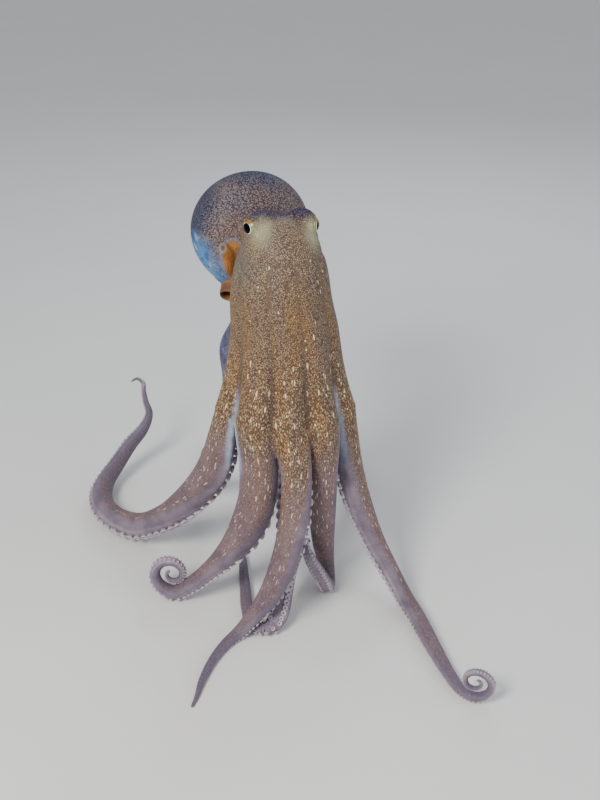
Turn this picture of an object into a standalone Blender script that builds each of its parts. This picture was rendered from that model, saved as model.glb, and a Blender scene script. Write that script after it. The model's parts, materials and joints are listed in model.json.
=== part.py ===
"""A common octopus, life size, standing on its eight arms with the mantle behind the head.

Metres, +Z up.  The animal faces -Y.  Its right side is at -X.  The arms are numbered from the
front, r1 to r4 on its right side and l1 to l4 on its left side.
"""

import math
import random

import bmesh
import bpy
import numpy as np
from mathutils import Matrix, Vector

# Whole model
MODEL_SHIFT = (0.0200, -0.0198, 0.0)  # brings the middle of the model's box over the origin
GAP = 0.0003                          # clear gap between touching pieces
WELD = 0.00002                        # edges shorter than this are closed up
SEED = 7

# Crown, where the eight arms join round the mouth
CROWN_X = -0.0045           # middle of the crown, below CROWN_LEAN_FROM
CROWN_X_TOP = -0.0075       # and above CROWN_LEAN_TO, where it leans towards the right side
CROWN_LEAN_FROM = 0.230
CROWN_LEAN_TO = 0.265
CROWN_Y_TOP = 0.010
CROWN_Y_LOW = 0.004
CROWN_TOP = 0.296
CROWN_LOW = 0.165
CROWN_RINGS = 8
RADIUS_TOP = 0.033          # outer radius at the head
CROWN_FLARE = 0.016         # how much wider the crown is at its lower end
CROWN_SKIRT = 0.0115        # extra width of the arms' backs, close to the lower end
WEB_SINK = 0.0095           # how deep the web lies between the arms' backs
WEB_SINK_POWER = 2.2        # the higher, the lower down the crown the grooves begin
WEB_ROOT = 0.016            # extra thickness of the web, by the mouth
CROWN_HOLLOW = 0.022        # how far the arms' sucker sides part, down to the lower end
BACK_ANGLE = 72.0           # part of a ring, on each side, that is the arm's back
MOUTH_RADIUS = 0.0135
MOUTH_DROP = 0.022

# Arms
ARM_SIDES = 10
BACK_DEPTH = 0.84           # depth of the outer half of an arm, as a share of its half width
ORAL_DEPTH = 0.76           # depth of the sucker half
WEB_EDGE = 0.0022           # thickness of the web's free margin
WEB_EDGE_FROM = 0.003       # a web wider than this is pressed to its full thinness
WEB_LENGTH = 0.045          # how far the web runs down an arm below the crown
SWELL_HEIGHT = 0.205        # where an arm can stand proud of the crown
SWELL_SPREAD = 0.026
WEB_TAPER = 2.0             # the higher, the sooner the web narrows down an arm
FLANGE_FROM = 0.70          # the web leaves an arm beyond this share of its half width
FLANGE_PRESS = 0.8          # how far the flank is pressed to the web's thickness there
TIP_HALF_WIDTH = 0.0007
TOP_HALF_WIDTH = 0.0138     # half width of an arm at the crown's lower end
LEVEL_LENGTH = 0.035        # below the crown the rings turn from level to square, over this length
FLANK = 0.92                # below 1, the arm's flanks are a little flatter than a circle
CURL_STEPS = 14             # points in one turn of a curled tip
BEND_PER_RING = 0.55        # radians between two rings in a bend
RING_STEP_MAX = 0.018
RING_STEP_MIN = 0.0035

REST_DEPTH = 0.80           # height of an arm's middle line where it lies, by its half width

# Suckers, in two rows along each arm
SUCKERS_PER_ROW = 14
SUCKER_SIDES = 6
SUCKER_SHARE = 0.54         # diameter of a sucker, as a share of the arm's half width
SUCKER_LARGE = {"arm_l4": 1.6}  # an arm whose suckers are larger, and by how much
LARGE_TO = 0.43             # down to this share of its length
LARGE_FADE = 0.08           # and usual again after this further share
SUCKER_EXTRA = 0.0004
SUCKER_FIRST = 0.0024       # diameter of the first ones, by the mouth
SUCKER_HEIGHT = 0.38        # these four as shares of the diameter
SUCKER_ROOT = 0.40
SUCKER_NECK = 0.36
SUCKER_DISH = 0.22
SUCKER_LEAN = math.radians(32)  # each row leans away from the arm's middle
SUCKER_VARIATION = 0.07
SUCKER_SPACE = 0.004        # free way between two, which spreads them evenly to the tip
SUCKER_DROOP = 0.25         # how far those in the crown point downwards
CROWN_SUCKERS_FROM = 0.274  # height of the first suckers, under the mouth

# Head
HEAD_TURN = math.radians(16)
HEAD_MASSES = (                 # rounded masses, each with its centre, radii and turn in degrees
    ((-0.0060, 0.0200, 0.3070), (0.0262, 0.0275, 0.0160), 16),   # between the eyes
    ((CROWN_X_TOP, CROWN_Y_TOP, 0.2935), (0.0333, 0.0330, 0.0330), 0),  # over the mouth
    ((-0.0115, 0.0480, 0.2955), (0.0285, 0.0380, 0.0205), 21),   # neck
    ((-0.0075, 0.0600, 0.2900), (0.0310, 0.0340, 0.0210), 0),    # nape
    ((-0.0205, 0.0105, 0.3180), (0.0158, 0.0120, 0.0132), 16),   # brow over the right eye
    ((0.0085, 0.0185, 0.3174), (0.0135, 0.0120, 0.0132), 16))    # and over the left one
EYE_BULGE = (0.0105, 0.0105, 0.0114)
EYE_BULGE_BACK = 0.0028         # how far the bulge's centre lies behind the eye's
EYE_BULGE_DROP = 0.0014         # and below it
HEAD_VOXEL = 0.0016
HEAD_SOFTEN = 12
HEAD_THIN = 0.027               # share of the faces that is kept
NECK_SIDES = 28
NECK_CUT = ((0.0000, 0.0380), (-0.0060, 0.0385), (-0.0160, 0.0400), (-0.0460, 0.0430))
HEAD_X = -0.0065
HEAD_Y = 0.011
EYE_HEIGHT = 0.3203
EYE_LOWER = 0.0028          # the left eye lies this much lower, as the head leans
EYE_SPREAD = 0.0220         # half the distance between the eyes
EYE_RADIUS = 0.0085
EYE_SWING = math.radians(64)  # between the head's front and each eye's gaze
LID_RADIUS = 0.0074
LID_THICKNESS = 0.0013
LID_STAND = 0.0040          # how far the lid's ring stands out from the eye's centre
LID_SEGMENTS = 14
LID_SIDES = 6
EYE_SEGMENTS = 16
EYE_RINGS = 9

# Mouth, the lips with the closed beak below them
MOUTH_SIDES = 16
MOUTH_PROFILE = (               # radius and drop, as shares of the mouth's own
    (1.0, 0.0), (1.0, 0.35), (0.90, 0.62), (0.62, 0.80), (0.34, 0.84), (0.22, 1.0))
BEAK_DROP = 1.14

# Mantle, a blunt sac behind the head
MANTLE_CENTRE = Vector((-0.0326, 0.0925, 0.2862))
MANTLE_AXIS = Vector((-0.43, 0.87, -0.27)).normalized()
MANTLE_RADIUS = 0.0504
MANTLE_FRONT = 0.034        # from the widest ring to the front end
MANTLE_BACK = 0.075         # from the widest ring to the blunt rear end
MANTLE_SAG = 0.03           # how much deeper the underside is, as a share of the radius
MANTLE_SIDES = 22
MANTLE_RINGS = 12
MARGIN_CENTRE = (-0.0562, 0.0509, 0.2735)  # swelling of the mantle's free margin
MARGIN_RADII = (0.0120, 0.0130, 0.0190)
MARGIN_LEAN = math.radians(-12)
POCKET_CENTRE = (-0.0433, 0.0381, 0.2778)  # the mantle's opening round the siphon
POCKET_RADII = (0.0112, 0.0300, 0.0195)
POCKET_LEAN = math.radians(-20)
MARGIN_TILT = math.radians(-28)            # both of them lean back by this
MARGIN_SEGMENTS = 14
MARGIN_RINGS = 8

# Siphon, the funnel on the animal's right side
SIPHON_PATH = ((-0.0429, 0.0767, 0.2886), (-0.0440, 0.0643, 0.2824), (-0.0438, 0.0549, 0.2750),
               (-0.0455, 0.0492, 0.2675), (-0.0490, 0.0425, 0.2555), (-0.0512, 0.0340, 0.2490))
SIPHON_RADII = (0.0070, 0.0076, 0.0076, 0.0076, 0.0086, 0.0084)
SIPHON_WALL = 0.0016
SIPHON_BORE = 0.011          # depth of the blind bore
SIPHON_SIDES = 16

# Directions that the sucker side of an arm can face
DOWN = (0.0, 0.0, -1.0)
FRONT = (0.0, -1.0, 0.0)
BACK = (0.0, 1.0, 0.0)

# Each arm: its angle round the crown from -Y towards +X, its way below the crown as points with
# the half width and the direction of the sucker side there, how its tip curls, and its cuts.
# A web entry gives the web's length and taper on the side of the lower and the higher angle.
ARMS = {
    "arm_r1": {
        "angle": 4,
        "way": [
            (0.0048, -0.0545, 0.134, 0.0128, BACK),
            (0.0040, -0.0677, 0.105, 0.0125, (0.5, 0.9, 0.0)),
            (-0.0025, -0.0838, 0.075, 0.0120, (0.7, 0.7, -0.1)),
            (-0.0148, -0.0946, 0.045, 0.0098, (0.6, 0.7, -0.4)),
            (-0.0295, -0.0975, 0.022, 0.0074, (0.5, 0.3, -0.8)),
            (-0.0424, -0.1012, 0.007, 0.0056, DOWN),
            (-0.0525, -0.1122, 0.004, 0.0046, DOWN),
            (-0.0612, -0.1290, 0.003, 0.0039, DOWN),
            (-0.0686, -0.1530, 0.002, 0.0031, DOWN),
            (-0.0722, -0.1731, 0.001, 0.0018, DOWN),
            (-0.0750, -0.1830, 0.001, TIP_HALF_WIDTH, DOWN)],
        "curl": None,
        "cuts": (0.06, 0.44, 0.68)},
    "arm_l1": {
        "angle": 40,
        "way": [
            (0.0268, -0.0370, 0.123, 0.0125, BACK),
            (0.0268, -0.0370, 0.083, 0.0115, BACK),
            (0.0280, -0.0310, 0.049, 0.0096, (0.0, 0.9, -0.3)),
            (0.0305, -0.0260, 0.024, 0.0076, (0.0, 0.7, -0.7)),
            (0.0325, -0.0285, 0.0085, 0.0066, (0.0, 0.2, -1.0)),
            (0.0320, -0.0400, 0.0080, 0.0064, (0.0, -0.5, -0.9)),
            (0.0280, -0.0485, 0.0205, 0.0062, (0.0, -1.0, -0.3)),
            (0.0220, -0.0530, 0.0350, 0.0058, FRONT),
            (0.0160, -0.0540, 0.0480, 0.0048, FRONT),
            (0.0125, -0.0500, 0.0565, 0.0034, (0.0, -0.8, 0.6)),
            (0.0140, -0.0430, 0.0580, 0.0018, (0.0, 0.2, 1.0)),
            (0.0170, -0.0400, 0.0540, TIP_HALF_WIDTH, (0.0, 0.8, 0.4))],
        "curl": None,
        "cuts": (0.08, 0.45, 0.70)},
    "arm_l2": {
        "angle": 80,
        "way": [
            (0.0455, -0.0050, 0.143, 0.0136, (-1.0, 0.2, 0.0)),
            (0.0508, -0.0100, 0.1075, 0.0138, (-1.0, 0.2, -0.1)),
            (0.0596, -0.0200, 0.0784, 0.0125, (-0.9, 0.2, -0.4)),
            (0.0718, -0.0320, 0.0503, 0.0108, (-0.9, 0.0, -0.5)),
            (0.0855, -0.0450, 0.0275, 0.0096, (-0.8, -0.2, -0.6)),
            (0.0975, -0.0600, 0.0110, 0.0085, (-0.7, -0.3, -0.8)),
            (0.1065, -0.0830, 0.0080, 0.0076, (-0.5, -0.2, -0.9)),
            (0.1165, -0.1190, 0.0060, 0.0064, DOWN),
            (0.1260, -0.1505, 0.0050, 0.0051, DOWN),
            (0.1325, -0.1655, 0.0045, 0.0045, DOWN),
            (0.1420, -0.1740, 0.0042, 0.0042, DOWN)],
        "curl": {"heading": (0.96, -0.28, 0.0), "lift": (0.0, 0.0, 1.0), "start": 0.0145,
                 "end": 0.0022, "turns": 1.50, "oral": "outside"},
        "cuts": (0.05, 0.36, 0.66)},
    "arm_l3": {
        "angle": 130,
        "way": [
            (0.0410, 0.0420, 0.137, 0.0134, (-0.7, -0.7, 0.0)),
            (0.0470, 0.0590, 0.100, 0.0128, (-0.6, -0.8, -0.2)),
            (0.0540, 0.0830, 0.062, 0.0112, (-0.4, -0.7, -0.6)),
            (0.0610, 0.1120, 0.027, 0.0096, (-0.2, -0.4, -0.9)),
            (0.0650, 0.1430, 0.010, 0.0082, DOWN),
            (0.0620, 0.1740, 0.006, 0.0066, DOWN),
            (0.0520, 0.2010, 0.005, 0.0053, DOWN),
            (0.0375, 0.2180, 0.004, 0.0044, DOWN)],
        "curl": {"heading": (-0.85, 0.52, 0.0), "lift": (-0.52, -0.85, 0.0), "start": 0.0165,
                 "end": 0.0048, "turns": 0.95, "oral": "down"},
        "cuts": (0.06, 0.42, 0.70)},
    "arm_l4": {
        "angle": 182,
        "way": [
            (-0.0010, 0.0440, 0.137, 0.0130, (0.0, -1.0, 0.0)),
            (-0.0005, 0.0240, 0.103, 0.0122, (0.0, -0.9, 0.5)),
            (-0.0005, -0.0080, 0.072, 0.0110, (0.0, -0.7, 0.7)),
            (-0.0020, -0.0400, 0.0465, 0.0096, (0.0, -0.6, 0.8)),
            (-0.0060, -0.0690, 0.0260, 0.0086, (-0.1, -0.7, 0.7)),
            (-0.0105, -0.0885, 0.0120, 0.0078, (-0.4, -0.8, 0.4)),
            (-0.0200, -0.0965, 0.0070, 0.0064, (-0.5, -0.6, -0.7)),
            (-0.0310, -0.0890, 0.0060, 0.0059, DOWN),
            (-0.0370, -0.0680, 0.0050, 0.0054, DOWN),
            (-0.0400, -0.0390, 0.0040, 0.0048, DOWN),
            (-0.0430, -0.0080, 0.0040, 0.0040, DOWN),
            (-0.0450, 0.0220, 0.0030, 0.0030, DOWN),
            (-0.0420, 0.0470, 0.0020, 0.0019, DOWN),
            (-0.0310, 0.0590, 0.0010, TIP_HALF_WIDTH, DOWN)],
        "curl": None,
        "cuts": (0.05, 0.32, 0.53, 0.74)},
    "arm_r4": {
        "angle": -121,
        "swell": 0.0140,
        "way": [
            (-0.0540, 0.0390, 0.137, 0.0134, (0.8, -0.6, 0.0)),
            (-0.0620, 0.0560, 0.101, 0.0130, (0.7, -0.7, -0.2)),
            (-0.0710, 0.0790, 0.065, 0.0115, (0.4, -0.7, -0.6)),
            (-0.0800, 0.1060, 0.031, 0.0098, (0.2, -0.4, -0.9)),
            (-0.0875, 0.1360, 0.011, 0.0083, DOWN),
            (-0.0897, 0.1680, 0.006, 0.0067, DOWN),
            (-0.0905, 0.1960, 0.005, 0.0054, DOWN),
            (-0.0840, 0.2150, 0.004, 0.0042, DOWN)],
        "curl": {"heading": (0.86, 0.50, 0.0), "lift": (0.50, -0.86, 0.0), "start": 0.0135,
                 "end": 0.0042, "turns": 0.92, "oral": "down"},
        "cuts": (0.06, 0.42, 0.70)},
    "arm_r3": {
        "angle": -76,
        "web": ((WEB_LENGTH, WEB_TAPER), (0.085, 0.5)),
        "way": [
            (-0.0559, -0.0090, 0.1453, 0.0140, (0.9, 0.4, 0.0)),
            (-0.0641, -0.0040, 0.1119, 0.0154, (0.8, 0.6, -0.1)),
            (-0.0770, 0.0040, 0.0845, 0.0158, (0.7, 0.4, -0.5)),
            (-0.0968, 0.0140, 0.0570, 0.0151, (0.6, 0.0, -0.8)),
            (-0.1172, 0.0250, 0.0345, 0.0142, (0.3, -0.3, -0.9)),
            (-0.1411, 0.0390, 0.0170, 0.0138, (0.0, -0.4, -1.0)),
            (-0.1620, 0.0520, 0.0135, 0.0132, (-0.3, -0.5, -0.8)),
            (-0.1785, 0.0720, 0.0130, 0.0124, (-0.7, -0.2, -0.7)),
            (-0.1865, 0.0980, 0.0125, 0.0112, (-0.8, 0.0, -0.6)),
            (-0.1850, 0.1229, 0.0150, 0.0092, (-0.8, 0.2, -0.6)),
            (-0.1768, 0.1400, 0.0220, 0.0080, (-0.8, 0.3, -0.5)),
            (-0.1654, 0.1580, 0.0340, 0.0072, (-0.8, 0.4, -0.3)),
            (-0.1521, 0.1720, 0.0460, 0.0056, (-0.8, 0.5, -0.2)),
            (-0.1475, 0.1855, 0.0560, 0.0040, (-0.8, 0.4, -0.2)),
            (-0.1517, 0.1949, 0.0640, 0.0034, (-0.8, 0.0, -0.3)),
            (-0.1544, 0.2039, 0.0710, 0.0029, (-0.7, 0.2, 0.2)),
            (-0.1564, 0.2140, 0.0765, 0.0023, (0.0, 0.7, 0.7)),
            (-0.1632, 0.2190, 0.0790, 0.0017, (0.0, 0.7, 0.7)),
            (-0.1690, 0.2130, 0.0780, TIP_HALF_WIDTH, (-0.7, 0.5, 0.5))],
        "curl": None,
        "cuts": (0.04, 0.36, 0.60, 0.80)},
    "arm_r2": {
        "angle": -29,
        "web": ((0.060, 0.8), (WEB_LENGTH, WEB_TAPER)),
        "way": [
            (-0.0246, -0.0430, 0.1320, 0.0150, (0.2, 1.0, 0.0)),
            (-0.0284, -0.0470, 0.0985, 0.0160, (0.3, 0.9, -0.1)),
            (-0.0380, -0.0490, 0.0725, 0.0152, (0.6, 0.6, -0.4)),
            (-0.0520, -0.0500, 0.0512, 0.0122, (0.6, 0.2, -0.8)),
            (-0.0681, -0.0500, 0.0329, 0.0092, (0.5, 0.0, -0.9)),
            (-0.0850, -0.0500, 0.0175, 0.0078, (0.3, 0.0, -1.0)),
            (-0.1005, -0.0490, 0.0078, 0.0068, DOWN)],
        "curl": {"heading": (-0.99, 0.10, -0.12), "lift": (-0.10, 0.12, 0.99), "start": 0.0182,
                 "end": 0.0020, "turns": 1.50, "oral": "outside"},
        "cuts": (0.06, 0.40, 0.66)},
}
ARM_ORDER = ("arm_r1", "arm_l1", "arm_l2", "arm_l3", "arm_l4", "arm_r4", "arm_r3", "arm_r2")
PART_NAMES = ("base", "upper", "lower", "outer", "tip")


# Scene helpers

def clear_scene():
    for old in list(bpy.data.objects):
        bpy.data.objects.remove(old, do_unlink=True)


def material(name, colour, roughness, metallic=0.0):
    made = bpy.data.materials.new(name)
    made.use_nodes = True
    shader = made.node_tree.nodes["Principled BSDF"]
    shader.inputs["Base Color"].default_value = (*colour, 1.0)
    shader.inputs["Roughness"].default_value = roughness
    shader.inputs["Metallic"].default_value = metallic
    return made


def mesh_object(name, mesh, collection):
    made = bpy.data.objects.new(name, mesh)
    collection.objects.link(made)
    return made


def loft(name, rings, collection, tip_point=None):
    """A closed skin over rings of equal point counts, with flat ends or a pointed far end."""
    work = bmesh.new()
    rows = [[work.verts.new(point) for point in ring] for ring in rings]
    count = len(rows[0])
    for near, far in zip(rows, rows[1:]):
        for i in range(count):
            j = (i + 1) % count
            work.faces.new((near[i], near[j], far[j], far[i]))
    work.faces.new(list(reversed(rows[0])))
    if tip_point is None:
        work.faces.new(rows[-1])
    else:
        top = work.verts.new(tip_point)
        for i in range(count):
            work.faces.new((rows[-1][i], rows[-1][(i + 1) % count], top))
    bmesh.ops.triangulate(work, faces=work.faces)
    bmesh.ops.recalc_face_normals(work, faces=work.faces)
    mesh = bpy.data.meshes.new(name)
    work.to_mesh(mesh)
    work.free()
    return mesh_object(name, mesh, collection)


def bake(thing):
    """Replaces an object's mesh with its evaluated mesh and drops its modifiers."""
    graph = bpy.context.evaluated_depsgraph_get()
    graph.update()
    mesh = bpy.data.meshes.new_from_object(thing.evaluated_get(graph))
    thing.modifiers.clear()
    thing.data = mesh


def keep_largest(thing):
    """Keeps the closed surface with the most volume and drops any scrap."""
    work = bmesh.new()
    work.from_mesh(thing.data)
    bmesh.ops.dissolve_degenerate(work, dist=WELD, edges=work.edges)
    bmesh.ops.triangulate(work, faces=work.faces)
    left = set(work.verts)
    shells = []
    while left:
        shell = set()
        stack = [left.pop()]
        while stack:
            vert = stack.pop()
            shell.add(vert)
            for edge in vert.link_edges:
                other = edge.other_vert(vert)
                if other in left:
                    left.remove(other)
                    stack.append(other)
        shells.append(shell)

    def volume(shell):
        faces = {face for vert in shell for face in vert.link_faces}
        return sum(face.verts[0].co.dot(face.verts[1].co.cross(face.verts[2].co)) for face in faces)

    if len(shells) > 1:
        best = max(shells, key=volume)
        drop = [vert for shell in shells if shell is not best for vert in shell]
        bmesh.ops.delete(work, geom=drop, context="VERTS")
    work.to_mesh(thing.data)
    work.free()


def subtract(thing, cutters):
    for cutter in cutters:
        cut = thing.modifiers.new("cut", "BOOLEAN")
        cut.operation = "DIFFERENCE"
        cut.object = cutter
        bake(thing)
    keep_largest(thing)


def unite(thing, collection):
    """Fuses every closed mesh of a collection with the object, then removes those meshes."""
    if collection.objects:
        join = thing.modifiers.new("join", "BOOLEAN")
        join.operation = "UNION"
        join.operand_type = "COLLECTION"
        join.collection = collection
        join.solver = "MANIFOLD"
        bake(thing)
        for piece in list(collection.objects):
            bpy.data.objects.remove(piece, do_unlink=True)
    keep_largest(thing)


def settle_on_floor(thing):
    """Presses what would reach below the floor into small flats at floor level."""
    for vert in thing.data.vertices:
        vert.co.z = max(vert.co.z, 0.0)


def smooth_step(x):
    x = min(max(x, 0.0), 1.0)
    return x * x * (3.0 - 2.0 * x)


# Crown

def crown_centre(z):
    share = (CROWN_TOP - z) / (CROWN_TOP - CROWN_LOW)
    lean = smooth_step((z - CROWN_LEAN_FROM) / (CROWN_LEAN_TO - CROWN_LEAN_FROM))
    x = CROWN_X + (CROWN_X_TOP - CROWN_X) * lean
    y = CROWN_Y_TOP + (CROWN_Y_LOW - CROWN_Y_TOP) * share
    return Vector((x, y, z))


def crown_radii(z):
    """Radii at one height: arm outside, web outside, web inside, arm inside."""
    t = (CROWN_TOP - z) / (CROWN_TOP - CROWN_LOW)
    arm_out = RADIUS_TOP + CROWN_FLARE * math.sqrt(t) + CROWN_SKIRT * t ** 4
    web_out = arm_out - 0.001 - WEB_SINK * t ** WEB_SINK_POWER
    web_in = web_out - WEB_EDGE - WEB_ROOT * (1.0 - t) ** 3
    arm_in = MOUTH_RADIUS + 2 * GAP + CROWN_HOLLOW * t ** 1.3
    return arm_out, web_out, web_in, arm_in


def arm_angles(index):
    """The arm's own angle and its borders with both neighbours, in radians."""
    angles = [math.radians(ARMS[name]["angle"]) for name in ARM_ORDER]
    own = angles[index]
    after = angles[(index + 1) % len(angles)]
    before = angles[index - 1]
    while after < own:
        after += 2 * math.pi
    while before > own:
        before -= 2 * math.pi
    return own, (before + own) / 2, (own + after) / 2


def crown_point(z, angle, radius, side_step=0.0):
    out = Vector((math.sin(angle), -math.cos(angle), 0.0))
    side = Vector((math.cos(angle), math.sin(angle), 0.0))
    return crown_centre(z) + out * radius + side * side_step


def crown_ring(index, z, sides):
    """One arm's share of the crown at one height, out to its borders with its neighbours."""
    own, low, high = arm_angles(index)
    arm_out, web_out, web_in, arm_in = crown_radii(z)
    swell = ARMS[ARM_ORDER[index]].get("swell", 0.0)
    arm_out += swell * math.exp(-((z - SWELL_HEIGHT) / SWELL_SPREAD) ** 2)
    ring = []
    for i in range(sides):
        turn = 360.0 * i / sides
        border = high if turn < 180.0 else low
        step = -GAP / 2 if turn < 180.0 else GAP / 2
        across = turn if turn < 180.0 else 360.0 - turn
        if across <= BACK_ANGLE:
            share = across / BACK_ANGLE
            radius = web_out + (arm_out - web_out) * math.cos(share * math.pi / 2)
        elif across < 180.0 - BACK_ANGLE:
            share = 1.0
            radius = web_out + (web_in - web_out) * (across - BACK_ANGLE) / (180.0 - 2 * BACK_ANGLE)
        else:
            share = (180.0 - across) / BACK_ANGLE
            radius = web_in + (arm_in - web_in) * math.cos(share * math.pi / 2)
        angle = own + (border - own) * share
        ring.append(crown_point(z, angle, radius, step * share))
    return ring


# Arms below the crown

def spline(points, per_span=16):
    """A smooth curve through rows of numbers, as a dense array of rows."""
    rows = np.asarray(points, float)
    padded = np.vstack([2 * rows[0] - rows[1], rows, 2 * rows[-1] - rows[-2]])
    knots = [0.0]
    for near, far in zip(padded, padded[1:]):
        knots.append(knots[-1] + math.sqrt(np.linalg.norm(far[:3] - near[:3])))
    curve = []
    for k in range(1, len(padded) - 2):
        t0, t1, t2, t3 = knots[k - 1:k + 3]
        p0, p1, p2, p3 = padded[k - 1:k + 3]
        for t in np.linspace(t1, t2, per_span, endpoint=False):
            a1 = (t1 - t) / (t1 - t0) * p0 + (t - t0) / (t1 - t0) * p1
            a2 = (t2 - t) / (t2 - t1) * p1 + (t - t1) / (t2 - t1) * p2
            a3 = (t3 - t) / (t3 - t2) * p2 + (t - t2) / (t3 - t2) * p3
            b1 = (t2 - t) / (t2 - t0) * a1 + (t - t0) / (t2 - t0) * a2
            b2 = (t3 - t) / (t3 - t1) * a2 + (t - t1) / (t3 - t1) * a3
            curve.append((t2 - t) / (t2 - t1) * b1 + (t - t1) / (t2 - t1) * b2)
    curve.append(padded[-2])
    return np.array(curve)


def curl_rows(curl, start, half_width):
    """A tightening spiral from the end of the way, tapering to the tip."""
    heading = Vector(curl["heading"]).normalized()
    lift = Vector(curl["lift"]).normalized()
    centre = Vector(start) + lift * curl["start"]
    steps = int(CURL_STEPS * curl["turns"])
    rows = []
    for i in range(1, steps + 1):
        share = i / steps
        turn = share * curl["turns"] * 2 * math.pi
        radius = curl["start"] + (curl["end"] - curl["start"]) * share ** 0.9
        spoke = heading * math.sin(turn) - lift * math.cos(turn)
        point = centre + spoke * radius
        oral = spoke if curl["oral"] == "outside" else Vector(DOWN)
        width = half_width + (TIP_HALF_WIDTH - half_width) * share ** 0.85
        rows.append((*point, width, *oral))
    return rows


class ArmPath:
    """One arm's middle line below the crown, with its width and sucker side."""

    def __init__(self, index):
        self.index = index
        spec = ARMS[ARM_ORDER[index]]
        own = arm_angles(index)[0]
        arm_out, _, _, arm_in = crown_radii(CROWN_LOW)
        start = crown_point(CROWN_LOW, own, (arm_out + arm_in) / 2)
        inward = (-math.sin(own), math.cos(own), 0.0)
        rows = [(*start, TOP_HALF_WIDTH, *inward)]
        rows += [(x, y, z, width, *oral) for x, y, z, width, oral in spec["way"]]
        if spec["curl"]:
            rows += curl_rows(spec["curl"], rows[-1][:3], rows[-1][3])
        dense = spline(rows)
        floor = dense[:, 3] * REST_DEPTH
        dense[:, 2] = np.maximum(dense[:, 2], floor)
        steps = np.linalg.norm(np.diff(dense[:, :3], axis=0), axis=1)
        self.along = np.concatenate([[0.0], np.cumsum(steps)])
        self.rows = dense
        self.length = self.along[-1]

    def row(self, s):
        return np.array([np.interp(s, self.along, self.rows[:, k]) for k in range(7)])

    def tangent(self, s):
        reach = 0.0015
        ahead = self.row(min(s + reach, self.length))[:3]
        behind = self.row(max(s - reach, 0.0))[:3]
        return Vector(ahead - behind).normalized()

    def frame(self, s):
        """Centre, half width, way along, direction of the suckers and sideways direction."""
        row = self.row(s)
        way = self.tangent(s)
        level = 1.0 - smooth_step(s / LEVEL_LENGTH)
        normal = (way * (1.0 - level) + Vector(DOWN) * level).normalized()
        oral = Vector(row[4:7])
        oral = (oral - normal * oral.dot(normal)).normalized()
        side = normal.cross(oral).normalized()
        return Vector(row[:3]), row[3], normal, oral, side

    def web_reach(self, s, half_width):
        """How far the web spreads beyond the arm on the low and the high side."""
        own, low, high = arm_angles(self.index)
        web_radius = crown_radii(CROWN_LOW)[1]
        webs = ARMS[ARM_ORDER[self.index]].get("web", ((WEB_LENGTH, WEB_TAPER),) * 2)
        reach = []
        for border, (length, power) in zip((low, high), webs):
            spread = web_radius * math.sin(abs(border - own)) - half_width - GAP
            reach.append(max(spread, 0.0) * max(0.0, 1.0 - s / length) ** power)
        return reach

    def ring(self, s, sides):
        centre, half, _, oral, side = self.frame(s)
        reach_low, reach_high = self.web_reach(s, half)
        ring = []
        for i in range(sides):
            turn = math.radians(360.0 * i / sides)
            x = math.sin(turn)
            y = math.cos(turn)
            depth = BACK_DEPTH if y > 0 else ORAL_DEPTH
            across = half * math.copysign(abs(x) ** FLANK, x)
            out = half * depth * y
            reach = reach_high if x > 0 else reach_low
            outer = smooth_step((abs(x) - FLANGE_FROM) * 4)
            flange = outer * smooth_step(reach / WEB_EDGE_FROM)
            across += math.copysign(reach * outer, x)
            margin = math.copysign(WEB_EDGE / 2, y)
            out += (margin - out) * flange * FLANGE_PRESS
            ring.append(centre + side * across - oral * out)
        return ring

    def stations(self, start, end):
        """Where rings stand between two cuts, closer together where the arm bends."""
        places = [start]
        while places[-1] < end:
            s = places[-1]
            ahead = min(s + 0.006, self.length)
            bend = self.tangent(s).angle(self.tangent(ahead), 0.0) / max(ahead - s, 1e-6)
            step = min(RING_STEP_MAX, BEND_PER_RING / max(bend, 1.0), 1.9 * self.row(s)[3] + 0.0035)
            places.append(s + max(step, RING_STEP_MIN))
        places[-1] = end
        if len(places) > 2 and places[-1] - places[-2] < RING_STEP_MIN:
            places.pop(-2)
        return places


def sucker_size(path, place):
    """Diameter at a place along the arm; negative places lie in the crown, above its end."""
    large = SUCKER_LARGE.get(ARM_ORDER[path.index], 1.0)
    large += (1.0 - large) * smooth_step((place / path.length - LARGE_TO) / LARGE_FADE)
    factor = SUCKER_SHARE * large
    if place >= 0.0:
        return factor * path.row(place)[3] + SUCKER_EXTRA
    share = (CROWN_SUCKERS_FROM - CROWN_LOW + place) / (CROWN_SUCKERS_FROM - CROWN_LOW)
    full = factor * path.row(0.0)[3] + SUCKER_EXTRA
    return SUCKER_FIRST + (full - SUCKER_FIRST) * max(share, 0.0) ** 0.8


def sucker_places(path, row):
    """Evenly thinned places from the mouth to the tip, staggered between the two rows."""
    dense = np.linspace(CROWN_LOW - CROWN_SUCKERS_FROM, path.length * 0.985, 400)
    crowding = np.array([1.0 / (sucker_size(path, place) + SUCKER_SPACE) for place in dense])
    total = np.concatenate([[0.0], np.cumsum(crowding[1:] + crowding[:-1])])
    steps = np.arange(SUCKERS_PER_ROW) + (0.25 if row > 0 else 0.75)
    return list(np.interp(steps / SUCKERS_PER_ROW * total[-1], total, dense))


def sucker_seat(path, place, row):
    """A point on the arm's surface and the direction a sucker there stands in."""
    slot = int(ARM_SIDES * 0.4)
    corner = slot if row > 0 else ARM_SIDES - slot
    if place < 0.0:
        height = CROWN_LOW - place
        point = crown_ring(path.index, height, ARM_SIDES)[corner]
        inward = crown_centre(height) - point
        return point, (inward.normalized() + Vector((0.0, 0.0, -SUCKER_DROOP))).normalized()
    point = path.ring(place, ARM_SIDES)[corner]
    _, _, _, oral, side = path.frame(place)
    return point, oral * math.cos(SUCKER_LEAN) + side * row * math.sin(SUCKER_LEAN)


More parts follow.
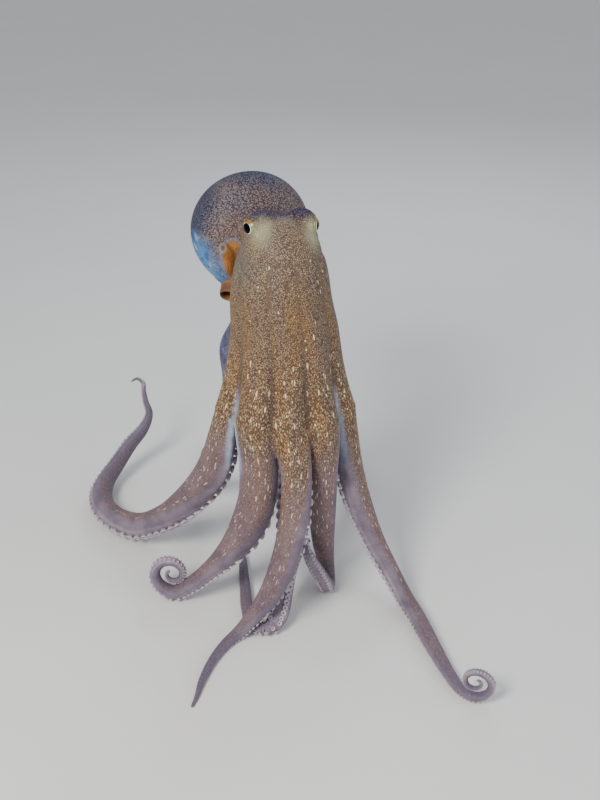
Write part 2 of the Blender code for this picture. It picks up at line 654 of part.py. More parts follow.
def add_sucker(path, place, row, collection):
    """A round cup on a short neck, its root sunk into the arm."""
    wide = sucker_size(path, place) * random.uniform(1.0 - SUCKER_VARIATION, 1.0 + SUCKER_VARIATION)
    seat, out = sucker_seat(path, place, row)
    across = out.orthogonal().normalized()
    other = out.cross(across)
    rings = []
    for height, radius in ((-SUCKER_ROOT, SUCKER_NECK), (SUCKER_HEIGHT, 0.5)):
        ring = []
        for i in range(SUCKER_SIDES):
            turn = 2 * math.pi * i / SUCKER_SIDES
            spoke = across * math.cos(turn) + other * math.sin(turn)
            ring.append(seat + out * wide * height + spoke * wide * radius)
        rings.append(ring)
    dish = seat + out * wide * (SUCKER_HEIGHT - SUCKER_DISH)
    loft("sucker", rings, collection, tip_point=dish)


def add_suckers(path, start, end, collection):
    """All the suckers that belong to one length of the arm, clear of its cuts."""
    for row in (-1, 1):
        for place in sucker_places(path, row):
            if start <= place <= end:
                clear = sucker_size(path, place) * (0.5 + SUCKER_VARIATION) + 2 * GAP
                low = start + clear if start > 0.0 else place
                high = end - clear if end < path.length else place
                add_sucker(path, min(max(place, low), high), row, collection)


def build_arm(index, collection, loose):
    """Makes the arm's lengths from the crown to the tip, and returns them."""
    name = ARM_ORDER[index]
    path = ArmPath(index)
    cuts = [share * path.length for share in ARMS[name]["cuts"]]
    ends = [0.0] + cuts + [path.length]
    labels = PART_NAMES[:len(ends) - 2] + ("tip",)
    pieces = []
    for k, label in enumerate(labels):
        start = ends[k] + (GAP / 2 if k else 0.0)
        end = ends[k + 1] - (GAP / 2 if k < len(labels) - 1 else 0.0)
        stations = path.stations(start, end)
        rings = [path.ring(s, ARM_SIDES) for s in stations]
        if k == 0:
            heights = np.linspace(CROWN_TOP, CROWN_LOW, CROWN_RINGS)
            rings = [crown_ring(index, z, ARM_SIDES) for z in heights] + rings[1:]
        piece = loft(f"{name}_{label}", rings, collection)
        add_suckers(path, start if k else CROWN_LOW - CROWN_TOP, end, loose)
        unite(piece, loose)
        settle_on_floor(piece)
        pieces.append(piece)
    return pieces


# Head, mantle, siphon, mouth and eyes

def ellipsoid(centre, radii, turn=0.0, tilt=0.0, lean=0.0, segments=32, rings=16):
    bpy.ops.mesh.primitive_uv_sphere_add(segments=segments, ring_count=rings, radius=1.0)
    made = bpy.context.object
    spin = Matrix.Rotation(turn, 4, "Z") @ Matrix.Rotation(tilt, 4, "X")
    spin = spin @ Matrix.Rotation(lean, 4, "Y")
    made.data.transform(Matrix.Translation(centre) @ spin @ Matrix.Diagonal((*radii, 1.0)))
    return made


def joined(name, pieces, collection):
    """One object that holds the meshes of several."""
    work = bmesh.new()
    for piece in pieces:
        work.from_mesh(piece.data)
        bpy.data.objects.remove(piece, do_unlink=True)
    mesh = bpy.data.meshes.new(name)
    work.to_mesh(mesh)
    work.free()
    return mesh_object(name, mesh, collection)


def eye_frame(side):
    """Centre and gaze of one eye, side -1 for the animal's right and +1 for its left."""
    across = Vector((math.cos(HEAD_TURN), math.sin(HEAD_TURN), 0.0))
    ahead = Vector((math.sin(HEAD_TURN), -math.cos(HEAD_TURN), 0.0))
    height = EYE_HEIGHT - EYE_LOWER * (side > 0)
    centre = Vector((HEAD_X, HEAD_Y, height)) + across * side * EYE_SPREAD
    gaze = ahead * math.cos(EYE_SWING) + across * side * math.sin(EYE_SWING)
    return centre, gaze.normalized()


def mantle_radius(share):
    """The sac's radius at a place from 0 at its front end to 1 at its rear end."""
    widest = MANTLE_FRONT / (MANTLE_FRONT + MANTLE_BACK)
    if share < widest:
        x = (widest - share) / widest
        return MANTLE_RADIUS * (1.0 - x ** 2.6) ** (1 / 2.1)
    x = (share - widest) / (1.0 - widest)
    return MANTLE_RADIUS * (1.0 - x ** 2.0) ** (1 / 1.9)


def mantle_rings(grow=0.0):
    """Rings round the sac's axis, slightly deeper on the underside."""
    up = (Vector((0, 0, 1)) - MANTLE_AXIS * MANTLE_AXIS.z).normalized()
    side = MANTLE_AXIS.cross(up).normalized()
    front = MANTLE_CENTRE - MANTLE_AXIS * (MANTLE_FRONT + grow)
    length = MANTLE_FRONT + MANTLE_BACK + 2 * grow
    rings = []
    for k in range(1, MANTLE_RINGS):
        share = 0.5 - 0.5 * math.cos(math.pi * k / MANTLE_RINGS)
        radius = mantle_radius(share) + grow
        ring = []
        for i in range(MANTLE_SIDES):
            turn = 2 * math.pi * i / MANTLE_SIDES
            sag = 1.0 + MANTLE_SAG * max(0.0, -math.cos(turn))
            spoke = side * math.sin(turn) + up * math.cos(turn) * sag
            ring.append(front + MANTLE_AXIS * length * share + spoke * radius)
        rings.append(ring)
    return rings, front + MANTLE_AXIS * length


def siphon_rings(grow=0.0):
    path = [Vector(point) for point in SIPHON_PATH]
    rings = []
    for k, point in enumerate(path):
        way = (path[min(k + 1, len(path) - 1)] - path[max(k - 1, 0)]).normalized()
        side = way.cross(Vector((0, 1, 0))).normalized()
        other = way.cross(side)
        place = point + way * (grow if k == len(path) - 1 else (-grow if k == 0 else 0.0))
        ring = []
        for i in range(SIPHON_SIDES):
            turn = 2 * math.pi * i / SIPHON_SIDES
            spoke = side * math.cos(turn) + other * math.sin(turn)
            ring.append(place + spoke * (SIPHON_RADII[k] + grow))
        rings.append(ring)
    return rings, way


def build_siphon(collection):
    """A short tube with a blind bore in its free end."""
    rings, way = siphon_rings()
    tip = Vector(SIPHON_PATH[-1])
    inner = 1.0 - SIPHON_WALL / SIPHON_RADII[-1]
    lip = [tip + (Vector(point) - tip) * inner for point in rings[-1]]
    floor = [point - way * SIPHON_BORE for point in lip]
    return loft("siphon", rings + [lip, floor], collection)


def build_head(collection, loose, cutters):
    """Head and neck as rounded masses melted together, with a lid and a socket for each eye."""
    pieces = [ellipsoid(centre, radii, math.radians(turn)) for centre, radii, turn in HEAD_MASSES]
    for side in (-1, 1):
        centre, gaze = eye_frame(side)
        drop = Vector((0.0, 0.0, EYE_BULGE_DROP))
        pieces.append(ellipsoid(centre - gaze * EYE_BULGE_BACK - drop, EYE_BULGE))
    head = joined("head", pieces, collection)
    remesh = head.modifiers.new("skin", "REMESH")
    remesh.mode = "VOXEL"
    remesh.voxel_size = HEAD_VOXEL
    soften = head.modifiers.new("soften", "SMOOTH")
    soften.factor = 0.5
    soften.iterations = HEAD_SOFTEN
    thin = head.modifiers.new("thin", "DECIMATE")
    thin.ratio = HEAD_THIN
    bake(head)
    for side in (-1, 1):
        centre, gaze = eye_frame(side)
        bpy.ops.mesh.primitive_torus_add(
            major_radius=LID_RADIUS, minor_radius=LID_THICKNESS, major_segments=LID_SEGMENTS,
            minor_segments=LID_SIDES)
        lid = bpy.context.object
        stand = gaze.to_track_quat("Z", "Y").to_matrix().to_4x4()
        lid.data.transform(Matrix.Translation(centre + gaze * LID_STAND) @ stand)
        move_to(lid, loose)
    unite(head, loose)
    neck_cutter(cutters)
    for side in (-1, 1):
        centre, _ = eye_frame(side)
        socket = ellipsoid(centre, (EYE_RADIUS + GAP,) * 3, segments=EYE_SEGMENTS, rings=EYE_RINGS)
        move_to(socket, cutters)
    subtract(head, list(cutters.objects))
    return head


def neck_cutter(collection):
    """A blunt cone that takes the crown's room away from the head and neck."""
    rings = []
    for drop, radius in NECK_CUT:
        centre = crown_centre(CROWN_TOP + GAP + drop)
        rings.append([])
        for i in range(NECK_SIDES):
            turn = 2 * math.pi * i / NECK_SIDES
            rings[-1].append(centre + Vector((math.cos(turn), math.sin(turn), 0.0)) * radius)
    return loft("neck_cutter", rings, collection)


def build_mouth(collection):
    """The round lips with the two beak halves closed below them."""
    rings = []
    for share, drop in MOUTH_PROFILE:
        centre = crown_centre(CROWN_TOP - MOUTH_DROP * drop)
        ring = []
        for i in range(MOUTH_SIDES):
            turn = 2 * math.pi * i / MOUTH_SIDES
            spoke = Vector((math.cos(turn), math.sin(turn), 0.0))
            ring.append(centre + spoke * MOUTH_RADIUS * share)
        rings.append(ring)
    tip = crown_centre(CROWN_TOP - MOUTH_DROP * BEAK_DROP)
    return loft("mouth", rings, collection, tip_point=tip)


def build_eye(name, side, collection):
    centre, _ = eye_frame(side)
    eye = ellipsoid(centre, (EYE_RADIUS,) * 3, segments=EYE_SEGMENTS, rings=EYE_RINGS)
    eye.name = name
    move_to(eye, collection)
    return eye


def move_to(thing, collection):
    for home in list(thing.users_collection):
        home.objects.unlink(thing)
    collection.objects.link(thing)


def main():
    clear_scene()
    random.seed(SEED)
    octopus = bpy.data.collections.new("octopus")
    loose = bpy.data.collections.new("loose_pieces")
    cutters = bpy.data.collections.new("cutters")
    for collection in (octopus, loose, cutters):
        bpy.context.scene.collection.children.link(collection)

    skin_arm = material("arm_skin", (0.42, 0.29, 0.18), 0.55)
    skin_head = material("head_skin", (0.45, 0.33, 0.20), 0.5)
    skin_mantle = material("mantle_skin", (0.30, 0.27, 0.30), 0.5)
    skin_siphon = material("siphon_skin", (0.62, 0.33, 0.14), 0.45)
    skin_mouth = material("mouth_skin", (0.50, 0.40, 0.40), 0.5)
    eye_ball = material("eye_ball", (0.55, 0.52, 0.30), 0.12)

    finish = {}
    for index in range(len(ARM_ORDER)):
        for piece in build_arm(index, octopus, loose):
            finish[piece] = skin_arm

    rings, end = mantle_rings()
    mantle = loft("mantle", rings, octopus, tip_point=end)
    finish[mantle] = skin_mantle
    rings, end = mantle_rings(GAP)
    loft("mantle_cutter", rings, cutters, tip_point=end)
    rings, _ = siphon_rings(GAP)
    siphon_cutter = loft("siphon_cutter", rings, cutters)
    margin = ellipsoid(MARGIN_CENTRE, MARGIN_RADII, 0.0, MARGIN_TILT, MARGIN_LEAN,
                       MARGIN_SEGMENTS, MARGIN_RINGS)
    move_to(margin, loose)
    unite(mantle, loose)
    pocket = ellipsoid(POCKET_CENTRE, POCKET_RADII, 0.0, MARGIN_TILT, POCKET_LEAN,
                       MARGIN_SEGMENTS, MARGIN_RINGS)
    move_to(pocket, cutters)
    subtract(mantle, [siphon_cutter, pocket])
    bpy.data.objects.remove(pocket, do_unlink=True)
    finish[build_siphon(octopus)] = skin_siphon
    finish[build_head(octopus, loose, cutters)] = skin_head
    finish[build_mouth(octopus)] = skin_mouth
    finish[build_eye("eye_right", -1, octopus)] = eye_ball
    finish[build_eye("eye_left", 1, octopus)] = eye_ball

    for cutter in cutters.objects:
        cutter.hide_render = True
        cutter.display_type = "WIRE"
    stand = bpy.data.objects.new("octopus_root", None)
    octopus.objects.link(stand)
    for piece, look in finish.items():
        piece.data.materials.clear()
        piece.data.materials.append(look)
        piece.data.shade_smooth()
        piece.parent = stand
    stand.location = MODEL_SHIFT
    bpy.context.view_layer.update()


main()
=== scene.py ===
# %% [markdown]
# # A common octopus, life size
# The animal stands on its eight arms, with the head raised and the sac of the mantle behind it.
# The solids carry the shape in facets. Here one smooth skin takes the place of all the flesh,
# and eyes, mouth and suckers are added as finer pieces.

# %% Open the frame
import json
import math
import random

import bpy
import numpy as np
from mathutils import Matrix, Vector
from mathutils.kdtree import KDTree

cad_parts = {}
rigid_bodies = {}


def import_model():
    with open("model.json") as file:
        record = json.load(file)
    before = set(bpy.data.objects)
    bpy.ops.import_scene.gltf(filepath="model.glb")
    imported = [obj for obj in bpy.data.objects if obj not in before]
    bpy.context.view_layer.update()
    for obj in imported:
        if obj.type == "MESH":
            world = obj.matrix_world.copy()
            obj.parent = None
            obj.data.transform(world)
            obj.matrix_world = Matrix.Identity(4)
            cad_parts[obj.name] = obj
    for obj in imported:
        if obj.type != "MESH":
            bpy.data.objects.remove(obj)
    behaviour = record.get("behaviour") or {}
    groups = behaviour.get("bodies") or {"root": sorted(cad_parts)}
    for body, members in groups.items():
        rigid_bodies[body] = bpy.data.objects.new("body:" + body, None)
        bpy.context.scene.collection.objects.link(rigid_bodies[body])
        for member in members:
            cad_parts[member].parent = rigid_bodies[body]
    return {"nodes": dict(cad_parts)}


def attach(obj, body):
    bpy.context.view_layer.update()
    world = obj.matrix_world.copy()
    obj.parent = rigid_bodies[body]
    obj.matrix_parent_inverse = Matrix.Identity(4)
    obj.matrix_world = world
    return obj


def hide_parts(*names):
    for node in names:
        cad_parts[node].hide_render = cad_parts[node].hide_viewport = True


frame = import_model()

for old in [thing for thing in bpy.data.objects if thing.name in ("Cube", "Camera", "Light")]:
    bpy.data.objects.remove(old, do_unlink=True)
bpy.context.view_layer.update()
random.seed(11)

# %% [markdown]
# ## Sizes
# Values are in metres unless their comment says otherwise. The main ones agree with those of
# the solids; a few thin edges differ a little, and the siphon's bore is deeper here. The whole
# animal is drawn round the crown, where the arms join, and is moved over the origin at the end.

# %% Named sizes
MODEL_SHIFT = Vector((0.0200, -0.0198, 0.0))

CROWN_X = -0.0045
CROWN_X_TOP = -0.0075
CROWN_LEAN_FROM = 0.230     # between these heights the crown leans sideways to the head
CROWN_LEAN_TO = 0.265
CROWN_Y_TOP = 0.010
CROWN_Y_LOW = 0.004
CROWN_TOP = 0.296
CROWN_LOW = 0.165
RADIUS_TOP = 0.033
CROWN_FLARE = 0.016
CROWN_SKIRT = 0.0115
WEB_SINK = 0.0095
WEB_SINK_POWER = 2.2
WEB_ROOT = 0.016
WEB_STEP = 0.001            # the web's outside lies at least this far behind the arms' backs
SKIRT_POWER = 4             # the higher, the closer to the lower end a width is added
ROOT_POWER = 3
HOLLOW_POWER = 1.3
CROWN_HOLLOW = 0.022
BACK_ANGLE = 72.0
MOUTH_RADIUS = 0.0135
MOUTH_DROP = 0.022

BACK_DEPTH = 0.84
ORAL_DEPTH = 0.76
WEB_EDGE = 0.0024
WEB_LENGTH = 0.045
WEB_TAPER = 2.0             # the higher, the sooner the web narrows down an arm
PLAIN_WEB = (WEB_LENGTH, WEB_TAPER)
WEB_EDGE_FROM = 0.003       # a web wider than this is pressed to its full thinness
FLANGE_FROM = 0.70          # the web leaves an arm beyond this share of its half width
FLANGE_PRESS = 0.8          # how far the flank is pressed to the web's thickness there
OVERLAP = 0.0008            # neighbouring arms reach this far into each other, so that they melt together
SWELL_HEIGHT = 0.205
SWELL_SPREAD = 0.026
TOP_HALF_WIDTH = 0.0138
LEVEL_LENGTH = 0.035
FLANK = 0.92
CURL_STEPS = 14             # points in one turn of a curled tip
CURL_TIGHTEN = 0.9
CURL_TAPER = 0.85
REST_DEPTH = 0.80

HEAD_TURN = math.radians(16)
HEAD_MASSES = (
    ((-0.0060, 0.0200, 0.3070), (0.0262, 0.0275, 0.0160), 16),
    ((CROWN_X_TOP, CROWN_Y_TOP, 0.2935), (0.0333, 0.0330, 0.0330), 0),
    ((-0.0115, 0.0480, 0.2955), (0.0285, 0.0380, 0.0205), 21),
    ((-0.0075, 0.0600, 0.2900), (0.0310, 0.0340, 0.0210), 0),
    ((-0.0205, 0.0105, 0.3180), (0.0158, 0.0120, 0.0132), 16),
    ((0.0085, 0.0185, 0.3174), (0.0135, 0.0120, 0.0132), 16))
HEAD_X = -0.0065
HEAD_Y = 0.011
HEAD_FLOOR = 0.288          # the head's masses end here, over the mouth
HEAD_NECK_FROM = 0.030      # masses further back than this belong to the neck
EYE_HEIGHT = 0.3203
EYE_LOWER = 0.0028
EYE_SPREAD = 0.0220
EYE_RADIUS = 0.0085
EYE_SWING = math.radians(64)
EYE_BULGE = (0.0105, 0.0105, 0.0116)
EYE_BULGE_BACK = 0.0028
EYE_BULGE_DROP = 0.0014
LID_RADIUS = 0.0074
LID_THICKNESS = 0.0013
LID_STAND = 0.0040
LID_SEGMENTS = 48
LID_SIDES = 12

MANTLE_CENTRE = Vector((-0.0326, 0.0925, 0.2862))
MANTLE_AXIS = Vector((-0.43, 0.87, -0.27)).normalized()
MANTLE_RADIUS = 0.0504
MANTLE_FRONT = 0.034
MANTLE_BACK = 0.075
MANTLE_SAG = 0.03           # how much deeper the underside is, as a share of the radius
BLUNT_FRONT = (2.6, 2.1)    # powers of its outline along and outwards: 2 is round, more is blunter
ROUND_BACK = (2.0, 1.9)
MARGIN_CENTRE = Vector((-0.0562, 0.0509, 0.2735))
MARGIN_RADII = (0.0120, 0.0130, 0.0190)
MARGIN_LEAN = math.radians(-12)
POCKET_CENTRE = Vector((-0.0433, 0.0381, 0.2778))
POCKET_RADII = (0.0112, 0.0300, 0.0195)
POCKET_LEAN = math.radians(-20)
MARGIN_TILT = math.radians(-28)

SIPHON_PATH = ((-0.0429, 0.0767, 0.2886), (-0.0440, 0.0643, 0.2824), (-0.0438, 0.0549, 0.2750),
               (-0.0455, 0.0492, 0.2675), (-0.0490, 0.0425, 0.2555), (-0.0512, 0.0340, 0.2490))
SIPHON_RADII = (0.0070, 0.0076, 0.0076, 0.0076, 0.0086, 0.0084)
SIPHON_WALL = 0.0018
SIPHON_BORE = 0.014

SKIN_SIDES = 40             # points round an arm, before the pieces melt into one skin
SKIN_STEP = 0.0020
SKIN_VOXEL = 0.0011
SKIN_SOFTEN = 7             # rounds of smoothing after the melt
TABLE_STEP = 0.001          # the arms' frames are looked up at this spacing
RESTORE_FADE = 0.02

TIP = 1.0                   # half width of an arm's tip in millimetres, as in the rows below
TIP_HALF_WIDTH = TIP / 1000
DOWN = (0.0, 0.0, -1.0)
FRONT = (0.0, -1.0, 0.0)
BACK = (0.0, 1.0, 0.0)

# %% [markdown]
# ## The way of each arm
# An octopus arm is a muscle with no bone, so its shape is given by its middle line, its half
# width and the side that its suckers face. Each row gives those, from the crown down: a point
# and a half width in millimetres, and a direction. Some tips end in a spiral, which a formula
# draws. A swell makes an arm thicker in the crown. A web is given for both flanks, as its
# length down the arm and the power with which it narrows.

# %% Ways of the eight arms
ARMS = {
    "arm_r1": {"angle": 4, "way": (
        (4.8, -54.5, 134, 12.8, BACK), (4, -67.7, 105, 12.5, (0.5, 0.9, 0.0)),
        (-2.5, -83.8, 75, 12, (0.7, 0.7, -0.1)), (-14.8, -94.6, 45, 9.8, (0.6, 0.7, -0.4)),
        (-29.5, -97.5, 22, 7.4, (0.5, 0.3, -0.8)), (-42.4, -101.2, 7, 5.6, DOWN),
        (-52.5, -112.2, 4, 4.6, DOWN), (-61.2, -129, 3, 3.9, DOWN), (-68.6, -153, 2, 3.1, DOWN),
        (-72.2, -173.1, 1, 1.8, DOWN), (-75, -183, 1, TIP, DOWN))},
    "arm_l1": {"angle": 40, "way": (
        (26.8, -37, 123, 12.5, BACK), (26.8, -37, 83, 11.5, BACK), (28, -31, 49, 9.6, (0.0, 0.9, -0.3)),
        (30.5, -26, 24, 7.6, (0.0, 0.7, -0.7)), (32.5, -28.5, 8.5, 6.6, (0.0, 0.2, -1.0)),
        (32, -40, 8, 6.4, (0.0, -0.5, -0.9)), (28, -48.5, 20.5, 6.2, (0.0, -1.0, -0.3)),
        (22, -53, 35, 5.8, FRONT), (16, -54, 48, 4.8, FRONT), (12.5, -50, 56.5, 3.4, (0.0, -0.8, 0.6)),
        (14, -43, 58, 1.8, (0.0, 0.2, 1.0)), (17, -40, 54, TIP, (0.0, 0.8, 0.4)))},
    "arm_l2": {"angle": 80, "way": (
        (45.5, -5, 143, 13.6, (-1.0, 0.2, 0.0)), (50.8, -10, 107.5, 13.8, (-1.0, 0.2, -0.1)),
        (59.6, -20, 78.4, 12.5, (-0.9, 0.2, -0.4)), (71.8, -32, 50.3, 10.8, (-0.9, 0.0, -0.5)),
        (85.5, -45, 27.5, 9.6, (-0.8, -0.2, -0.6)), (97.5, -60, 11, 8.5, (-0.7, -0.3, -0.8)),
        (106.5, -83, 8, 7.6, (-0.5, -0.2, -0.9)), (116.5, -119, 6, 6.4, DOWN), (126, -150.5, 5, 5.1, DOWN),
        (132.5, -165.5, 4.5, 4.5, DOWN), (142, -174, 4.2, 4.2, DOWN)),
        "curl": {"heading": (0.96, -0.28, 0.0), "lift": (0.0, 0.0, 1.0), "start": 0.0145,
                 "end": 0.0022, "turns": 1.50, "oral": "outside"}},
    "arm_l3": {"angle": 130, "way": (
        (41, 42, 137, 13.4, (-0.7, -0.7, 0.0)), (47, 59, 100, 12.8, (-0.6, -0.8, -0.2)),
        (54, 83, 62, 11.2, (-0.4, -0.7, -0.6)), (61, 112, 27, 9.6, (-0.2, -0.4, -0.9)),
        (65, 143, 10, 8.2, DOWN), (62, 174, 6, 6.6, DOWN), (52, 201, 5, 5.3, DOWN),
        (37.5, 218, 4, 4.4, DOWN)),
        "curl": {"heading": (-0.85, 0.52, 0.0), "lift": (-0.52, -0.85, 0.0), "start": 0.0165,
                 "end": 0.0048, "turns": 0.95, "oral": "down"}},
    "arm_l4": {"angle": 182, "way": (
        (-1, 44, 137, 13, (0.0, -1.0, 0.0)), (-0.5, 24, 103, 12.2, (0.0, -0.9, 0.5)),
        (-0.5, -8, 72, 11, (0.0, -0.7, 0.7)), (-2, -40, 46.5, 9.6, (0.0, -0.6, 0.8)),
        (-6, -69, 26, 8.6, (-0.1, -0.7, 0.7)), (-10.5, -88.5, 12, 7.8, (-0.4, -0.8, 0.4)),
        (-20, -96.5, 7, 6.4, (-0.5, -0.6, -0.7)), (-31, -89, 6, 5.9, DOWN), (-37, -68, 5, 5.4, DOWN),
        (-40, -39, 4, 4.8, DOWN), (-43, -8, 4, 4, DOWN), (-45, 22, 3, 3, DOWN), (-42, 47, 2, 1.9, DOWN),
        (-31, 59, 1, TIP, DOWN))},
    "arm_r4": {"angle": -121, "swell": 0.0140, "way": (
        (-54, 39, 137, 13.4, (0.8, -0.6, 0.0)), (-62, 56, 101, 13, (0.7, -0.7, -0.2)),
        (-71, 79, 65, 11.5, (0.4, -0.7, -0.6)), (-80, 106, 31, 9.8, (0.2, -0.4, -0.9)),
        (-87.5, 136, 11, 8.3, DOWN), (-89.7, 168, 6, 6.7, DOWN), (-90.5, 196, 5, 5.4, DOWN),
        (-84, 215, 4, 4.2, DOWN)),
        "curl": {"heading": (0.86, 0.50, 0.0), "lift": (0.50, -0.86, 0.0), "start": 0.0135,
                 "end": 0.0042, "turns": 0.92, "oral": "down"}},
    "arm_r3": {"angle": -76, "web": (PLAIN_WEB, (0.085, 0.5)), "way": (
        (-55.9, -9, 145.3, 14, (0.9, 0.4, 0.0)), (-64.1, -4, 111.9, 15.4, (0.8, 0.6, -0.1)),
        (-77, 4, 84.5, 15.8, (0.7, 0.4, -0.5)), (-96.8, 14, 57, 15.1, (0.6, 0.0, -0.8)),
        (-117.2, 25, 34.5, 14.2, (0.3, -0.3, -0.9)), (-141.1, 39, 17, 13.8, (0.0, -0.4, -1.0)),
        (-162, 52, 13.5, 13.2, (-0.3, -0.5, -0.8)), (-178.5, 72, 13, 12.4, (-0.7, -0.2, -0.7)),
        (-186.5, 98, 12.5, 11.2, (-0.8, 0.0, -0.6)), (-185, 122.9, 15, 9.2, (-0.8, 0.2, -0.6)),
        (-176.8, 140, 22, 8, (-0.8, 0.3, -0.5)), (-165.4, 158, 34, 7.2, (-0.8, 0.4, -0.3)),
        (-152.1, 172, 46, 5.6, (-0.8, 0.5, -0.2)), (-147.5, 185.5, 56, 4, (-0.8, 0.4, -0.2)),
        (-151.7, 194.9, 64, 3.4, (-0.8, 0.0, -0.3)), (-154.4, 203.9, 71, 2.9, (-0.7, 0.2, 0.2)),
        (-156.4, 214, 76.5, 2.3, (0.0, 0.7, 0.7)), (-163.2, 219, 79, 1.7, (0.0, 0.7, 0.7)),
        (-169, 213, 78, TIP, (-0.7, 0.5, 0.5)))},
    "arm_r2": {"angle": -29, "web": ((0.060, 0.8), PLAIN_WEB), "way": (
        (-24.6, -43, 132, 15, (0.2, 1.0, 0.0)), (-28.4, -47, 98.5, 16, (0.3, 0.9, -0.1)),
        (-38, -49, 72.5, 15.2, (0.6, 0.6, -0.4)), (-52, -50, 51.2, 12.2, (0.6, 0.2, -0.8)),
        (-68.1, -50, 32.9, 9.2, (0.5, 0.0, -0.9)), (-85, -50, 17.5, 7.8, (0.3, 0.0, -1.0)),
        (-100.5, -49, 7.8, 6.8, DOWN)),
        "curl": {"heading": (-0.99, 0.10, -0.12), "lift": (-0.10, 0.12, 0.99), "start": 0.0182,
                 "end": 0.0020, "turns": 1.50, "oral": "outside"}},
}
ARM_ORDER = ("arm_r1", "arm_l1", "arm_l2", "arm_l3", "arm_l4", "arm_r4", "arm_r3", "arm_r2")
print("arms", len(ARMS))

# %% [markdown]
# ## The crown
# Above the level where they part, the arms stand side by side round the mouth, like the
# staves of a barrel, and a thin web joins their edges. The crown is a set of level outlines:
# each arm has a rounded back, thin borders and a sucker side that faces the mouth.

# %% Crown outlines
def smooth_step(x):
    x = np.clip(x, 0.0, 1.0)
    return x * x * (3.0 - 2.0 * x)


def crown_share(z):
    """0 at the crown's upper end, 1 at its lower end."""
    return (CROWN_TOP - z) / (CROWN_TOP - CROWN_LOW)


def crown_x(z):
    lean = smooth_step((z - CROWN_LEAN_FROM) / (CROWN_LEAN_TO - CROWN_LEAN_FROM))
    return CROWN_X + (CROWN_X_TOP - CROWN_X) * lean


def crown_y(z):
    return CROWN_Y_TOP + (CROWN_Y_LOW - CROWN_Y_TOP) * crown_share(z)


def crown_centre(z):
    return Vector((crown_x(z), crown_y(z), z))


def crown_radii(z):
    """Radii at one height: arm outside, web outside, web inside, arm inside."""
    t = crown_share(z)
    arm_out = RADIUS_TOP + CROWN_FLARE * math.sqrt(t) + CROWN_SKIRT * t ** SKIRT_POWER
    web_out = arm_out - WEB_STEP - WEB_SINK * t ** WEB_SINK_POWER
    web_in = web_out - WEB_EDGE - WEB_ROOT * (1.0 - t) ** ROOT_POWER
    arm_in = MOUTH_RADIUS + CROWN_HOLLOW * t ** HOLLOW_POWER
    return arm_out, web_out, web_in, arm_in


def arm_angles(index):
    """The arm's own angle and its borders with both neighbours, in radians."""
    angles = [math.radians(ARMS[name]["angle"]) for name in ARM_ORDER]
    own = angles[index]
    after = angles[(index + 1) % len(angles)]
    before = angles[index - 1]
    while after < own:
        after += 2 * math.pi
    while before > own:
        before -= 2 * math.pi
    return own, (before + own) / 2, (own + after) / 2


def crown_point(z, angle, radius, side_step=0.0):
    out = Vector((math.sin(angle), -math.cos(angle), 0.0))
    side = Vector((math.cos(angle), math.sin(angle), 0.0))
    return crown_centre(z) + out * radius + side * side_step


def crown_surface(index, z, turn):
    """A point of one arm's outline at a height; turn is in degrees from the middle of its back."""
    own, low, high = arm_angles(index)
    arm_out, web_out, web_in, arm_in = crown_radii(z)
    swell = ARMS[ARM_ORDER[index]].get("swell", 0.0)
    arm_out += swell * math.exp(-((z - SWELL_HEIGHT) / SWELL_SPREAD) ** 2)
    border = high if turn < 180.0 else low
    step = OVERLAP if turn < 180.0 else -OVERLAP
    across = turn if turn < 180.0 else 360.0 - turn
    if across <= BACK_ANGLE:
        share = across / BACK_ANGLE
        radius = web_out + (arm_out - web_out) * math.cos(share * math.pi / 2)
    elif across < 180.0 - BACK_ANGLE:
        share = 1.0
        radius = web_out + (web_in - web_out) * (across - BACK_ANGLE) / (180.0 - 2 * BACK_ANGLE)
    else:
        share = (180.0 - across) / BACK_ANGLE
        radius = web_in + (arm_in - web_in) * math.cos(share * math.pi / 2)
    return crown_point(z, own + (border - own) * share, radius, step * share)


print("crown radius below", round(crown_radii(CROWN_LOW)[0], 4))

# %% [markdown]
# ## Arms below the crown
# A smooth curve runs through the rows of each way. Outlines stand square to it, a little deeper
# on the back than on the sucker side, and keep a fringe of web on both flanks near the crown.
# Where an arm lies on the floor, its middle line stays at the height of its own depth.

# %% Middle lines and outlines
def spline(points, per_span=24):
    """A smooth curve through rows of numbers, as a dense array of rows."""
    rows = np.asarray(points, float)
    padded = np.vstack([2 * rows[0] - rows[1], rows, 2 * rows[-1] - rows[-2]])
    knots = [0.0]
    for near, far in zip(padded, padded[1:]):
        knots.append(knots[-1] + math.sqrt(np.linalg.norm(far[:3] - near[:3])))
    curve = []
    for k in range(1, len(padded) - 2):
        t0, t1, t2, t3 = knots[k - 1:k + 3]
        p0, p1, p2, p3 = padded[k - 1:k + 3]
        for t in np.linspace(t1, t2, per_span, endpoint=False):
            a1 = (t1 - t) / (t1 - t0) * p0 + (t - t0) / (t1 - t0) * p1
            a2 = (t2 - t) / (t2 - t1) * p1 + (t - t1) / (t2 - t1) * p2
            a3 = (t3 - t) / (t3 - t2) * p2 + (t - t2) / (t3 - t2) * p3
            b1 = (t2 - t) / (t2 - t0) * a1 + (t - t0) / (t2 - t0) * a2
            b2 = (t3 - t) / (t3 - t1) * a2 + (t - t1) / (t3 - t1) * a3
            curve.append((t2 - t) / (t2 - t1) * b1 + (t - t1) / (t2 - t1) * b2)
    curve.append(padded[-2])
    return np.array(curve)


